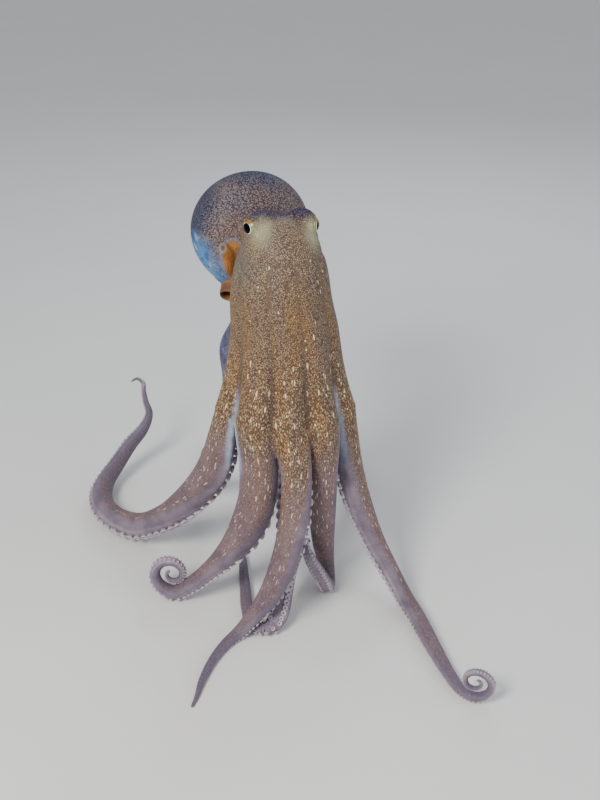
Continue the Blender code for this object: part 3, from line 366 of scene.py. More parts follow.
def curl_rows(curl, start, half_width):
    """A tightening spiral from the end of the way, tapering to the tip."""
    heading = Vector(curl["heading"]).normalized()
    lift = Vector(curl["lift"]).normalized()
    centre = Vector(start) + lift * curl["start"]
    steps = int(CURL_STEPS * curl["turns"])
    rows = []
    for i in range(1, steps + 1):
        share = i / steps
        turn = share * curl["turns"] * 2 * math.pi
        radius = curl["start"] + (curl["end"] - curl["start"]) * share ** CURL_TIGHTEN
        spoke = heading * math.sin(turn) - lift * math.cos(turn)
        oral = spoke if curl["oral"] == "outside" else Vector(DOWN)
        width = half_width + (TIP_HALF_WIDTH - half_width) * share ** CURL_TAPER
        rows.append((*(centre + spoke * radius), width, *oral))
    return rows


class ArmPath:
    """One arm's middle line below the crown, with its width and sucker side."""

    def __init__(self, index):
        self.index = index
        spec = ARMS[ARM_ORDER[index]]
        self.webs = spec.get("web", (PLAIN_WEB, PLAIN_WEB))
        own = arm_angles(index)[0]
        arm_out, _, _, arm_in = crown_radii(CROWN_LOW)
        start = crown_point(CROWN_LOW, own, (arm_out + arm_in) / 2)
        rows = [(*start, TOP_HALF_WIDTH, -math.sin(own), math.cos(own), 0.0)]
        rows += [(x / 1000, y / 1000, z / 1000, width / 1000, *oral) for x, y, z, width, oral in spec["way"]]
        if "curl" in spec:
            rows += curl_rows(spec["curl"], rows[-1][:3], rows[-1][3])
        dense = spline(rows)
        dense[:, 2] = np.maximum(dense[:, 2], dense[:, 3] * REST_DEPTH)
        steps = np.linalg.norm(np.diff(dense[:, :3], axis=0), axis=1)
        self.along = np.concatenate([[0.0], np.cumsum(steps)])
        self.rows = dense
        self.length = self.along[-1]

    def row(self, s):
        return np.array([np.interp(s, self.along, self.rows[:, k]) for k in range(7)])

    def tangent(self, s):
        ahead = self.row(min(s + 0.0015, self.length))[:3]
        behind = self.row(max(s - 0.0015, 0.0))[:3]
        return Vector(ahead - behind).normalized()

    def frame(self, s):
        """Centre, half width, the outline's normal, direction of the suckers and sideways."""
        row = self.row(s)
        level = 1.0 - smooth_step(s / LEVEL_LENGTH)
        normal = (self.tangent(s) * (1.0 - level) + Vector(DOWN) * level).normalized()
        oral = Vector(row[4:7])
        oral = (oral - normal * oral.dot(normal)).normalized()
        return Vector(row[:3]), row[3], normal, oral, normal.cross(oral).normalized()

    def surface(self, s, turn):
        """A point on the arm; turn is in degrees from the middle of its back."""
        centre, half, _, oral, side = self.frame(s)
        own, low, high = arm_angles(self.index)
        x = math.sin(math.radians(turn))
        y = math.cos(math.radians(turn))
        border = high if x > 0 else low
        spread = crown_radii(CROWN_LOW)[1] * math.sin(abs(border - own)) - half
        length, power = self.webs[1 if x > 0 else 0]
        reach = max(spread + OVERLAP, 0.0) * max(0.0, 1.0 - s / length) ** power
        fringe = smooth_step((abs(x) - FLANGE_FROM) * 4)
        across = half * math.copysign(abs(x) ** FLANK, x) + math.copysign(reach * fringe, x)
        out = half * (BACK_DEPTH if y > 0 else ORAL_DEPTH) * y
        flange = fringe * smooth_step(reach / WEB_EDGE_FROM)
        out += (math.copysign(WEB_EDGE / 2, y) - out) * flange * FLANGE_PRESS
        return centre + side * across - oral * out


paths = [ArmPath(index) for index in range(len(ARM_ORDER))]
for name, path in zip(ARM_ORDER, paths):
    print(name, "length below the crown", round(path.length, 3))

# %% [markdown]
# ## Pieces of flesh
# Each arm, the rounded masses of the head and neck, the lids, the mantle and the siphon are
# first closed shells. The mantle's opening round the siphon is cut as a pocket. Shells that
# overlap are no problem, because the next step melts them into one skin.

# %% Closed shells
class Shells:
    """Collects points and faces of closed shells, with a few facts about each point."""

    def __init__(self):
        self.points = []
        self.faces = []
        self.facts = []

    def rings(self, rings, near, far, facts):
        """A shell over rings of equal point counts, closed by a point at each end."""
        first = len(self.points)
        count = len(rings[0])
        for ring, fact in zip(rings, facts):
            self.points += [tuple(point) for point in ring]
            self.facts += [fact] * count
        for k in range(len(rings) - 1):
            for i in range(count):
                j = (i + 1) % count
                a = first + k * count
                self.faces.append((a + i, a + j, a + count + j, a + count + i))
        for ring, point, fact in ((0, near, facts[0]), (len(rings) - 1, far, facts[-1])):
            self.points.append(tuple(point))
            self.facts.append(fact)
            a = first + ring * count
            for i in range(count):
                self.faces.append((a + i, len(self.points) - 1, a + (i + 1) % count))

    def mesh(self, name):
        made = bpy.data.meshes.new(name)
        made.from_pydata(self.points, [], self.faces)
        made.update()
        return made


def circle(centre, across, other, radius, count):
    """Points round a circle that lies in two directions."""
    return [centre + (across * math.cos(t) + other * math.sin(t)) * radius
            for t in np.linspace(0.0, 2 * math.pi, count, endpoint=False)]


def ball(shells, centre, radii, turn, fact, tilt=0.0, lean=0.0, floor=None, count=40):
    """An ellipsoid as rings, with its underside pressed flat at a height if one is given."""
    spin = Matrix.Rotation(turn, 3, "Z") @ Matrix.Rotation(tilt, 3, "X") @ Matrix.Rotation(lean, 3, "Y")
    rings = []
    for k in range(1, count // 2):
        polar = math.pi * k / (count // 2)
        rings.append([])
        for i in range(count):
            turned = 2 * math.pi * i / count
            level = math.sin(polar)
            unit = Vector((level * math.cos(turned), level * math.sin(turned), math.cos(polar)))
            point = Vector(centre) + spin @ Vector([u * r for u, r in zip(unit, radii)])
            if floor is not None:
                point.z = max(point.z, floor)
            rings[-1].append(point)
    poles = [sum(ring, Vector()) / len(ring) for ring in (rings[0], rings[-1])]
    shells.rings(rings, poles[0], poles[1], [fact] * len(rings))


def eye_frame(side):
    """Centre and gaze of one eye, side -1 for the animal's right and +1 for its left."""
    across = Vector((math.cos(HEAD_TURN), math.sin(HEAD_TURN), 0.0))
    ahead = Vector((math.sin(HEAD_TURN), -math.cos(HEAD_TURN), 0.0))
    height = EYE_HEIGHT - EYE_LOWER * (side > 0)
    centre = Vector((HEAD_X, HEAD_Y, height)) + across * side * EYE_SPREAD
    gaze = ahead * math.cos(EYE_SWING) + across * side * math.sin(EYE_SWING)
    return centre, gaze.normalized()


def eye_axes(side):
    """The eye's own axes: sideways, up and along its gaze."""
    centre, gaze = eye_frame(side)
    across = Vector((0.0, 0.0, 1.0)).cross(gaze).normalized()
    return centre, across, gaze.cross(across), gaze


def mantle_radius(share):
    widest = MANTLE_FRONT / (MANTLE_FRONT + MANTLE_BACK)
    if share < widest:
        away, (along_power, out_power) = (widest - share) / widest, BLUNT_FRONT
    else:
        away, (along_power, out_power) = (share - widest) / (1.0 - widest), ROUND_BACK
    return MANTLE_RADIUS * (1.0 - away ** along_power) ** (1 / out_power)


def mantle_rings(steps=48, sides=72):
    up = (Vector((0, 0, 1)) - MANTLE_AXIS * MANTLE_AXIS.z).normalized()
    side = MANTLE_AXIS.cross(up).normalized()
    front = MANTLE_CENTRE - MANTLE_AXIS * MANTLE_FRONT
    length = MANTLE_FRONT + MANTLE_BACK
    rings = []
    for k in range(1, steps):
        share = 0.5 - 0.5 * math.cos(math.pi * k / steps)
        rings.append([])
        for i in range(sides):
            turn = 2 * math.pi * i / sides
            sag = 1.0 + MANTLE_SAG * max(0.0, -math.cos(turn))
            spoke = side * math.sin(turn) + up * math.cos(turn) * sag
            rings[-1].append(front + MANTLE_AXIS * length * share + spoke * mantle_radius(share))
    return rings, front, front + MANTLE_AXIS * length


def siphon_rings(sides=32):
    """Rings down the outside of the tube, round its lip and back up its bore."""
    rows = spline([(*point, radius) for point, radius in zip(SIPHON_PATH, SIPHON_RADII)], 8)
    rings = []
    for k, row in enumerate(rows):
        way = Vector(rows[min(k + 1, len(rows) - 1)][:3] - rows[max(k - 1, 0)][:3]).normalized()
        side = way.cross(Vector((0, 1, 0))).normalized()
        rings.append(circle(Vector(row[:3]), side, way.cross(side), row[3], sides))
    tip = Vector(rows[-1][:3])
    inner = 1.0 - SIPHON_WALL / SIPHON_RADII[-1]
    lip = [tip + (point - tip) * inner for point in rings[-1]]
    end = [point - way * SIPHON_BORE for point in lip]
    return rings + [lip, end], Vector(rows[0][:3]), tip - way * SIPHON_BORE


def mantle_with_pocket(shells):
    """The sac with the pocket round the siphon cut out of it."""
    rings, near, far = mantle_rings()
    sac = Shells()
    sac.rings(rings, near, far, [0] * len(rings))
    hole = Shells()
    ball(hole, POCKET_CENTRE, POCKET_RADII, 0.0, 0, MARGIN_TILT, POCKET_LEAN)
    margin = Shells()
    ball(margin, MARGIN_CENTRE, MARGIN_RADII, 0.0, 0, MARGIN_TILT, MARGIN_LEAN)
    pair = []
    for name, part in (("sac", sac), ("margin", margin), ("hole", hole)):
        pair.append(bpy.data.objects.new(name, part.mesh(name)))
        bpy.context.scene.collection.objects.link(pair[-1])
    for other, operation in ((pair[1], "UNION"), (pair[2], "DIFFERENCE")):
        change = pair[0].modifiers.new(operation, "BOOLEAN")
        change.operation = operation
        change.object = other
    graph = bpy.context.evaluated_depsgraph_get()
    mesh = bpy.data.meshes.new_from_object(pair[0].evaluated_get(graph))
    first = len(shells.points)
    shells.points += [tuple(vert.co) for vert in mesh.vertices]
    shells.facts += [("mantle", 0, 0.0)] * len(mesh.vertices)
    shells.faces += [tuple(first + v for v in face.vertices) for face in mesh.polygons]
    for thing in pair:
        bpy.data.objects.remove(thing, do_unlink=True)


flesh = Shells()
for index, path in enumerate(paths):
    heights = np.arange(CROWN_TOP, CROWN_LOW, -SKIN_STEP)
    places = np.arange(0.0, path.length, SKIN_STEP)
    turns = [360.0 * i / SKIN_SIDES for i in range(SKIN_SIDES)]
    rings = [[crown_surface(index, z, turn) for turn in turns] for z in heights]
    rings += [[path.surface(s, turn) for turn in turns] for s in places]
    facts = [("arm", index, CROWN_LOW - z) for z in heights] + [("arm", index, s) for s in places]
    middle = sum(rings[0], Vector()) / SKIN_SIDES
    flesh.rings(rings, middle, Vector(path.rows[-1][:3]), facts)
for centre, radii, turn in HEAD_MASSES:
    over_mouth = centre[1] < HEAD_NECK_FROM
    ball(flesh, centre, radii, math.radians(turn), ("head", 0, 0.0), floor=HEAD_FLOOR if over_mouth else None)
for side in (-1, 1):
    centre, across, up, gaze = eye_axes(side)
    drop = Vector((0.0, 0.0, EYE_BULGE_DROP))
    ball(flesh, centre - gaze * EYE_BULGE_BACK - drop, EYE_BULGE, 0.0, ("head", 0, 0.0))
    first = len(flesh.points)
    for spoke in circle(Vector(), across, up, 1.0, LID_SEGMENTS):
        seat = centre + gaze * LID_STAND + spoke * LID_RADIUS
        flesh.points += [tuple(point) for point in circle(seat, spoke, gaze, LID_THICKNESS, LID_SIDES)]
    flesh.facts += [("lid", side, 0.0)] * (LID_SEGMENTS * LID_SIDES)
    for k in range(LID_SEGMENTS):
        a, b = first + k * LID_SIDES, first + (k + 1) % LID_SEGMENTS * LID_SIDES
        for i in range(LID_SIDES):
            j = (i + 1) % LID_SIDES
            flesh.faces.append((a + i, a + j, b + j, b + i))
mantle_with_pocket(flesh)
rings, near, far = siphon_rings()
flesh.rings(rings, near, far, [("siphon", 0, 0.0)] * len(rings))
print("shell points", len(flesh.points))

# %% [markdown]
# ## One skin
# A voxel remesh melts the shells together and a light smoothing rounds the joins, as flesh does.
# That blurs thin tips, so each point well below the crown is put back on its arm's own
# outline. What would dip below the floor is pressed flat on it, as soft arms are.

# %% Melt, restore and rest on the floor
def link(thing):
    bpy.context.scene.collection.objects.link(thing)
    return thing


def baked(thing):
    graph = bpy.context.evaluated_depsgraph_get()
    mesh = bpy.data.meshes.new_from_object(thing.evaluated_get(graph))
    bpy.data.objects.remove(thing, do_unlink=True)
    return mesh


rough = link(bpy.data.objects.new("rough_skin", flesh.mesh("rough_skin")))
melt = rough.modifiers.new("melt", "REMESH")
melt.mode = "VOXEL"
melt.voxel_size = SKIN_VOXEL
soften = rough.modifiers.new("soften", "SMOOTH")
soften.factor = 0.5
soften.iterations = SKIN_SOFTEN
skin_mesh = baked(rough)
skin_mesh.name = "skin"
points = np.empty(len(skin_mesh.vertices) * 3)
skin_mesh.vertices.foreach_get("co", points)
points = points.reshape(-1, 3)

tree = KDTree(len(flesh.points))
for i, point in enumerate(flesh.points):
    tree.insert(point, i)
tree.balance()
nearest = np.array([tree.find(point)[1] for point in points])
part_of = np.array([fact[0] for fact in flesh.facts])[nearest]
arm_of = np.array([fact[1] for fact in flesh.facts])[nearest]
along = np.array([fact[2] for fact in flesh.facts])[nearest]

unit_turn = np.radians(np.linspace(-180.0, 180.0, 721))
unit_across = np.sign(np.sin(unit_turn)) * np.abs(np.sin(unit_turn)) ** FLANK
unit_out = np.cos(unit_turn) * np.where(np.cos(unit_turn) > 0, BACK_DEPTH, ORAL_DEPTH)
unit_angle = np.arctan2(unit_across, unit_out)
unit_radius = np.hypot(unit_across, unit_out)



def on_arm(index):
    return (part_of == "arm") & (arm_of == index)


cross = np.zeros(len(points))       # distance round the arm from the middle of its back
facing = np.zeros(len(points))      # 0 on the back, 1 on the sucker side
width = np.full(len(points), 0.02)
share_down = np.zeros(len(points))  # 0 at the crown's lower end, 1 at the tip
for index, path in enumerate(paths):
    places = np.arange(0.0, path.length, TABLE_STEP)
    frames = [path.frame(s) for s in places]
    table = {
        "centre": np.array([f[0] for f in frames]), "half": np.array([[f[1]] for f in frames]),
        "normal": np.array([f[2] for f in frames]), "oral": np.array([f[3] for f in frames]),
        "side": np.array([f[4] for f in frames])}
    ways = np.array([path.tangent(s) for s in places])
    low = np.flatnonzero(on_arm(index) & (along >= 0.0))
    near = np.clip((along[low] / TABLE_STEP).round().astype(int), 0, len(places) - 1)
    ahead = ((points[low] - table["centre"][near]) * table["normal"][near]).sum(1)
    ahead /= np.maximum((ways[near] * table["normal"][near]).sum(1), 0.3)
    s = np.clip(places[near] + np.clip(ahead, -0.003, 0.003), 0.0, places[-1])
    here = {key: np.stack([np.interp(s, places, value[:, k]) for k in range(value.shape[1])], 1)
            for key, value in table.items()}
    spoke = points[low] - here["centre"]
    angle = np.arctan2((spoke * here["side"]).sum(1), -(spoke * here["oral"]).sum(1))
    half = here["half"][:, 0]
    reach = np.interp(angle, unit_angle, unit_radius) * half
    placed = here["centre"] + here["side"] * (np.sin(angle) * reach)[:, None]
    placed -= here["oral"] * (np.cos(angle) * reach)[:, None]
    web_end = max(length for length, _ in path.webs)
    sure = smooth_step((s - web_end) / RESTORE_FADE) * (s < places[-1] - TABLE_STEP)
    points[low] += (placed - points[low]) * sure[:, None]
    along[low] = s
    cross[low] = angle * half
    facing[low] = np.abs(angle) / math.pi
    width[low] = half
    share_down[low] = s / path.length
    own, border_low, border_high = arm_angles(index)
    high = np.flatnonzero(on_arm(index) & (along < 0.0))
    x = points[high, 0] - crown_x(points[high, 2])
    y = points[high, 1] - crown_y(points[high, 2])
    around = (np.arctan2(x, -y) - own + math.pi) % (2 * math.pi) - math.pi
    radius = np.hypot(x, y)
    inside = np.array([crown_radii(min(max(z, CROWN_LOW), CROWN_TOP))[3] for z in points[high, 2]])
    cross[high] = around * radius
    facing[high] = 1.0 - smooth_step((radius - inside - 0.004) / 0.010)
    along[high] = CROWN_LOW - points[high, 2]

points[:, 2] = np.maximum(points[:, 2], 0.0)
print("skin points", len(points), "faces", len(skin_mesh.polygons))

# %% [markdown]
# ## Where each colour lies
# The colours of an octopus follow its body, so each point of the skin keeps how far along and
# round an arm it lies, and how much it belongs to the mantle, the siphon or a patch by an eye.
# The patterns of the skin read these values, so dashes run along the arms wherever they bend.

# %% Marks on the skin
def mark(mesh, name, values):
    """Stores one number or one vector for each point of a mesh."""
    values = np.asarray(values, float)
    kind = "FLOAT" if values.ndim == 1 else "FLOAT_VECTOR"
    layer = mesh.attributes.new(name, kind, "POINT")
    layer.data.foreach_set("value" if kind == "FLOAT" else "vector", values.ravel())


def near_point(centre, reach, power=2.0):
    """1 at a point, falling to 0 around it over a distance for each axis."""
    away = np.sqrt((((points - np.array(centre)) / np.array(reach)) ** 2).sum(1))
    return np.exp(-away ** power)


# centre, reach along each axis and strength of the dark crest's parts
CREST = (((-0.0220, 0.0130, 0.3315), (0.0170, 0.0200, 0.0095), 1.0),
         ((0.0080, 0.0210, 0.3310), (0.0160, 0.0200, 0.0095), 1.0),
         ((-0.0065, 0.0240, 0.3270), (0.0150, 0.0160, 0.0080), 1.0),
         ((-0.0100, 0.0480, 0.3150), (0.0300, 0.0300, 0.0110), 0.8))
VENT = (-0.0556, 0.0437, 0.2890)    # a small pale ring on the mantle's side, with its middle painted dark as the shade inside a hole
ARM_APART = 0.31            # keeps the patterns of different arms from matching
# web sides painted pale blue: partly the web's own paler tone, partly a painted bluish highlight, which also
# runs along these arms' edges
PALE_AND_HIGHLIT_WEBS = (("arm_r3", "high"), ("arm_r2", "low"), ("arm_l1", "high"), ("arm_l2", "low"))
# how much sooner down these arms the brown fades
SOONER = {"arm_r3": 0.24, "arm_r2": 0.16, "arm_r1": 0.05, "arm_l2": 0.10, "arm_l1": 0.14, "arm_l4": 0.30}

edge_ends = np.empty(len(skin_mesh.edges) * 2, int)
skin_mesh.edges.foreach_get("vertices", edge_ends)
edge_ends = edge_ends.reshape(-1, 2)
degree = np.bincount(edge_ends.ravel(), minlength=len(points))


def spread(values, rounds=5):
    """Blurs a mark over the skin, so that its border has no steps."""
    for _ in range(rounds):
        near_sum = np.bincount(edge_ends[:, 0], values[edge_ends[:, 1]], len(points))
        near_sum += np.bincount(edge_ends[:, 1], values[edge_ends[:, 0]], len(points))
        values = 0.5 * values + 0.5 * near_sum / degree
    return values


def towards(way, low, fade):
    """1 on the side of the mantle that faces one way."""
    return smooth_step((out @ np.array(way) - low) / fade)


from_mantle = points - np.array(MANTLE_CENTRE)
back = from_mantle @ np.array(MANTLE_AXIS)
out = from_mantle / np.linalg.norm(from_mantle, axis=1)[:, None]
not_arm = part_of != "arm"
on_sac = (part_of == "mantle").astype(float)
mantle_share = np.where(not_arm, smooth_step((back + 0.040) / 0.016), 0.0)
mantle_share[part_of == "mantle"] = 1.0
mantle_share[part_of == "siphon"] = 0.0
mantle_share = spread(mantle_share)
lean = Matrix.Rotation(MARGIN_TILT, 3, "X") @ Matrix.Rotation(POCKET_LEAN, 3, "Y")
in_pocket = (points - np.array(POCKET_CENTRE)) @ np.array(lean) / np.array(POCKET_RADII)
in_pocket = np.linalg.norm(in_pocket, axis=1)
mantle_dark = mantle_share * np.maximum(towards((0.0, 0.42, 0.90), 0.55, 0.45),
                                        0.8 * towards((-0.93, 0.05, 0.36), 0.66, 0.28))
crest = np.zeros(len(points))
for centre, reach, strength in CREST:
    crest = np.maximum(crest, strength * not_arm * near_point(centre, reach, 4.0))
patches = near_point((-0.0205, -0.0010, 0.3150), (0.0090, 0.0130, 0.0125), 3.0)
patches = np.maximum(patches, near_point((0.0170, 0.0050, 0.3120), (0.0070, 0.0130, 0.0125), 3.0))
patches = patches * not_arm
# painted shade in the grooves where neighbouring arms meet in the crown, strongest low in the crown
groove_shade = np.zeros(len(points))
pale_web = np.zeros(len(points))
for index in range(len(paths)):
    own, border_low, border_high = arm_angles(index)
    mine = np.flatnonzero(on_arm(index) & (along < 0.0))
    radius = np.hypot(points[mine, 0] - crown_x(points[mine, 2]), points[mine, 1] - CROWN_Y_LOW)
    gap_low = np.abs(cross[mine] / radius - (border_low - own)) * radius
    gap_high = np.abs(cross[mine] / radius - (border_high - own)) * radius
    groove_shade[mine] = 1.0 - smooth_step(np.minimum(gap_low, gap_high) / 0.005)
    for gap, neighbour in ((gap_low, "low"), (gap_high, "high")):
        if (ARM_ORDER[index], neighbour) in PALE_AND_HIGHLIT_WEBS:
            pale_web[mine] = np.maximum(pale_web[mine], 1.0 - smooth_step(gap / 0.0045))
groove_shade *= smooth_step((0.255 - points[:, 2]) / 0.07)
pale_web *= smooth_step((0.200 - points[:, 2]) / 0.025)
fringe = (part_of == "arm") * (along >= 0.0) * smooth_step((facing - 0.40) / 0.06)
fringe *= smooth_step((0.62 - facing) / 0.04)
for name, side in PALE_AND_HIGHLIT_WEBS:
    mine = on_arm(ARM_ORDER.index(name)) & (along >= 0.0) & (cross * (1 if side == "high" else -1) > 0)
    pale_web = np.where(mine, fringe * smooth_step((0.060 - along) / 0.03), pale_web)
violet = on_arm(ARM_ORDER.index("arm_r4")) * np.exp(-((points[:, 2] - 0.208) / 0.036) ** 4)
sooner = np.zeros(len(points))
for name, shift in SOONER.items():
    sooner[on_arm(ARM_ORDER.index(name))] = shift
sooner *= smooth_step((0.190 - points[:, 2]) / 0.06) * smooth_step((along + 0.03) / 0.05)
head_depth = np.where(not_arm, CROWN_LOW - points[:, 2], along)
head_cross = np.where(not_arm, points[:, 0], cross + arm_of * ARM_APART)

skin_mesh.vertices.foreach_set("co", points.ravel())
marks = {
    "flow": np.stack([head_depth, head_cross, np.where(not_arm, points[:, 1], 0.0)], 1),
    "down_arm": np.where(not_arm, 0.0, share_down),
    "from_crown": np.clip(np.where(not_arm, CROWN_LOW - CROWN_TOP, along), CROWN_LOW - CROWN_TOP, 0.4),
    "facing": np.where(not_arm, 0.0, facing),
    "mantle": mantle_share,
    "mantle_dark": mantle_dark,
    "siphon": spread((part_of == "siphon").astype(float)),
    # painted blue rim light from the water on the mantle's lower left side
    "rim_blue": mantle_share * towards((-0.69, -0.34, -0.64), 0.60, 0.30),
    "warm": mantle_share * near_point((-0.047, 0.052, 0.297), (0.018, 0.022, 0.018), 3.0),
    "pocket": spread(on_sac * smooth_step((1.03 - in_pocket) / 0.06), 2),
    "rim": spread(on_sac * np.exp(-((in_pocket - 1.09) / 0.055) ** 2), 2),
    "hole": on_sac * near_point(VENT, (0.0026, 0.0056, 0.0038), 6.0),
    "hole_rim": on_sac * near_point(VENT, (0.0036, 0.0072, 0.0049), 6.0),
    "crest": crest,
    "patch": patches,
    "cheek": (part_of != "mantle") * near_point((-0.0330, 0.0080, 0.2900), (0.0130, 0.0260, 0.0200), 3.0),
    "border": groove_shade,
    "pale_web": spread(pale_web, 3),
    "violet": spread(violet * (along < 0.0), 6),
    "sooner": sooner,
}
for name, values in marks.items():
    mark(skin_mesh, name, values)
print("mantle points", int((mantle_share > 0.5).sum()), "patch points", int((patches > 0.5).sum()))

# %% [markdown]
# ## Working with shader nodes
# A small helper adds nodes and joins them, so that a material reads like a list of steps.
# The skin's two patterns become groups with named inputs and outputs, so that one of them can
# be used twice, with finer cells on the arms and head and coarser ones on the mantle.

# %% Shader helpers
def tone(red, green, blue):
    """A colour given as it looks on a screen, 0 to 255, turned into the renderer's values."""
    values = [v / 255.0 for v in (red, green, blue)]
    return tuple(v / 12.92 if v <= 0.04045 else ((v + 0.055) / 1.055) ** 2.4 for v in values) + (1.0,)


class Wiring:
    """Adds nodes to one tree. A value can be a number, a vector, another node's output, or a
    colour of three numbers, as it looks on a screen."""

    def __init__(self, tree):
        self.tree = tree

    def put(self, socket, value):
        if isinstance(value, bpy.types.NodeSocket):
            self.tree.links.new(value, socket)
        elif socket.type == "RGBA" and len(value) == 3:
            socket.default_value = tone(*value)
        else:
            socket.default_value = value

    def fill(self, sockets, values):
        for name, value in values.items():
            self.put(sockets[name], value)

    def add(self, kind, inputs=None, **settings):
        node = self.tree.nodes.new(kind)
        for key, value in settings.items():
            setattr(node, key, value)
        self.fill(node.inputs, inputs or {})
        return node

    def math(self, operation, a, b=0.0):
        return self.add("ShaderNodeMath", {0: a, 1: b}, operation=operation).outputs[0]

    def times(self, a, b):
        return self.math("MULTIPLY", a, b)

    def mix(self, share, a, b):
        return self.add("ShaderNodeMix", {0: share, 6: a, 7: b}, data_type="RGBA").outputs[2]

    def span(self, value, low, high, to_low=0.0, to_high=1.0):
        node = self.add("ShaderNodeMapRange", {0: value, 1: low, 2: high, 3: to_low, 4: to_high})
        node.interpolation_type = "SMOOTHSTEP"
        return node.outputs[0]

    def mark(self, name, output="Fac"):
        return self.add("ShaderNodeAttribute", attribute_name=name).outputs[output]

    def marked(self, name, amount):
        return self.times(self.mark(name), amount)

    def place(self):
        return self.add("ShaderNodeTexCoord").outputs["Object"]

    def vector(self, operation, a, b):
        return self.add("ShaderNodeVectorMath", {0: a, 1: b}, operation=operation).outputs[0]

    def scaled(self, vector, scale):
        return self.vector("MULTIPLY", vector, scale)

    def length(self, vector):
        return self.add("ShaderNodeVectorMath", {0: vector}, operation="LENGTH").outputs["Value"]

    def noise(self, vector, scale, detail=3.0, roughness=0.55):
        inputs = {"Vector": vector, "Scale": scale, "Detail": detail, "Roughness": roughness}
        return self.add("ShaderNodeTexNoise", inputs).outputs["Fac"]

    def cells(self, vector, scale, randomness, feature="F1"):
        inputs = {"Vector": vector, "Scale": scale, "Randomness": randomness}
        return self.add("ShaderNodeTexVoronoi", inputs, feature=feature).outputs

    def bump(self, height, strength, distance):
        inputs = {"Height": height, "Strength": strength, "Distance": distance}
        return self.add("ShaderNodeBump", inputs).outputs[0]


def new_group(name, inputs, outputs):
    """An empty node group with named sockets, and its wiring, input node and output node."""
    group = bpy.data.node_groups.new(name, "ShaderNodeTree")
    for label, kind, value in inputs:
        socket = group.interface.new_socket(label, in_out="INPUT", socket_type=kind)
        if value is not None:
            socket.default_value = value
    for label, kind in outputs:
        group.interface.new_socket(label, in_out="OUTPUT", socket_type=kind)
    wiring = Wiring(group)
    return group, wiring, wiring.add("NodeGroupInput").outputs, wiring.add("NodeGroupOutput").inputs


def new_material(name):
    made = bpy.data.materials.new(name)
    made.use_nodes = True
    return made, Wiring(made.node_tree), made.node_tree.nodes["Principled BSDF"].inputs


# %% [markdown]
# ## Skin patterns
# Octopus skin is covered with tiny sacs of pigment. Seen close, pale cells stand in a darker
# net, and in places they run together into cream dashes. Both patterns are made of cells
# placed at random, stretched along the arm, with soft borders.

# %% Net of pale cells
net_group, wires, given, result = new_group(
    "pale cells in a net",
    [("Flow", "NodeSocketVector", None), ("Cells per metre", "NodeSocketFloat", 600.0),
     ("Stretch", "NodeSocketFloat", 1.0), ("Fill", "NodeSocketFloat", 0.5)],
    [("Cells", "NodeSocketFloat"), ("Net", "NodeSocketFloat"), ("Random", "NodeSocketFloat")])
shorter = wires.math("DIVIDE", 1.0, given["Stretch"])
squeeze = wires.add("ShaderNodeCombineXYZ", {0: shorter, 1: 1.0, 2: 1.0}).outputs[0]
where = wires.scaled(given["Flow"], squeeze)
bend = wires.add("ShaderNodeTexNoise", {"Vector": where, "Scale": 220.0, "Detail": 2.0}).outputs["Color"]
bend = wires.vector("SUBTRACT", bend, (0.5, 0.5, 0.5))
bend = wires.scaled(bend, (0.0014, 0.0014, 0.0014))
where = wires.vector("ADD", where, bend)
cells = wires.cells(where, given["Cells per metre"], 0.85)
edges = wires.cells(where, given["Cells per metre"], 0.85, "DISTANCE_TO_EDGE")
random_value = wires.add("ShaderNodeSeparateColor", {0: cells["Color"]}).outputs[0]
size = wires.times(given["Fill"], wires.span(random_value, 0.0, 1.0, 0.82, 1.1))
wires.fill(result, {
    "Cells": wires.span(wires.math("DIVIDE", cells["Distance"], size), 1.10, 0.45),
    "Net": wires.span(edges["Distance"], 0.22, 0.06),
    "Random": random_value})
print("group", net_group.name)

# %% [markdown]
# ## Cream dashes
# Lower on the crown and down the arms, cream dashes stand in loose lines. They are long cells
# of which only some are shown, chosen by the random number of each cell.

# %% Dashes along the arms
dash_group, wires, given, result = new_group(
    "cream dashes",
    [("Flow", "NodeSocketVector", None), ("Amount", "NodeSocketFloat", 0.4)],
    [("Dashes", "NodeSocketFloat")])
# cells per metre along and across the arm, half length and half width in metres, share that is shown
DASHES = ((92.0, 120.0, 0.0022, 0.00055, 1.0), (180.0, 160.0, 0.0010, 0.00045, 0.45))
masks = []
for per_along, per_across, long, wide, share in DASHES:
    where = wires.scaled(given["Flow"], (per_along, per_across, 0.0))
    cells = wires.cells(where, 1.0, 0.8)
    chance = wires.add("ShaderNodeSeparateColor", {0: cells["Color"]}).outputs
    shown = wires.math("LESS_THAN", chance[0], wires.times(given["Amount"], share))
    off = wires.vector("SUBTRACT", where, cells["Position"])
    off = wires.scaled(off, (1.0 / (per_along * long), 1.0 / (per_across * wide), 0.0))
    away = wires.math("DIVIDE", wires.length(off), wires.span(chance[1], 0.0, 1.0, 0.6, 1.15))
    masks.append(wires.times(wires.span(away, 1.25, 0.75), shown))
wires.put(result["Dashes"], wires.math("MAXIMUM", masks[0], masks[1]))
print("group", dash_group.name)

# %% [markdown]
# ## The skin's finish
# The crown and head are a golden ochre brown with pale grains; further down the arms the brown
# fades to a greyish mauve. The mantle is grey brown under a dark net, nearly blue on top, with a
# sky blue painted rim light and whitish painted highlights below. Pale yellowish patches lie beside the eyes,
# and the siphon is orange.
# Wet skin has a soft sheen, so it gets a thin rough coat and a fine relief from its own cells.

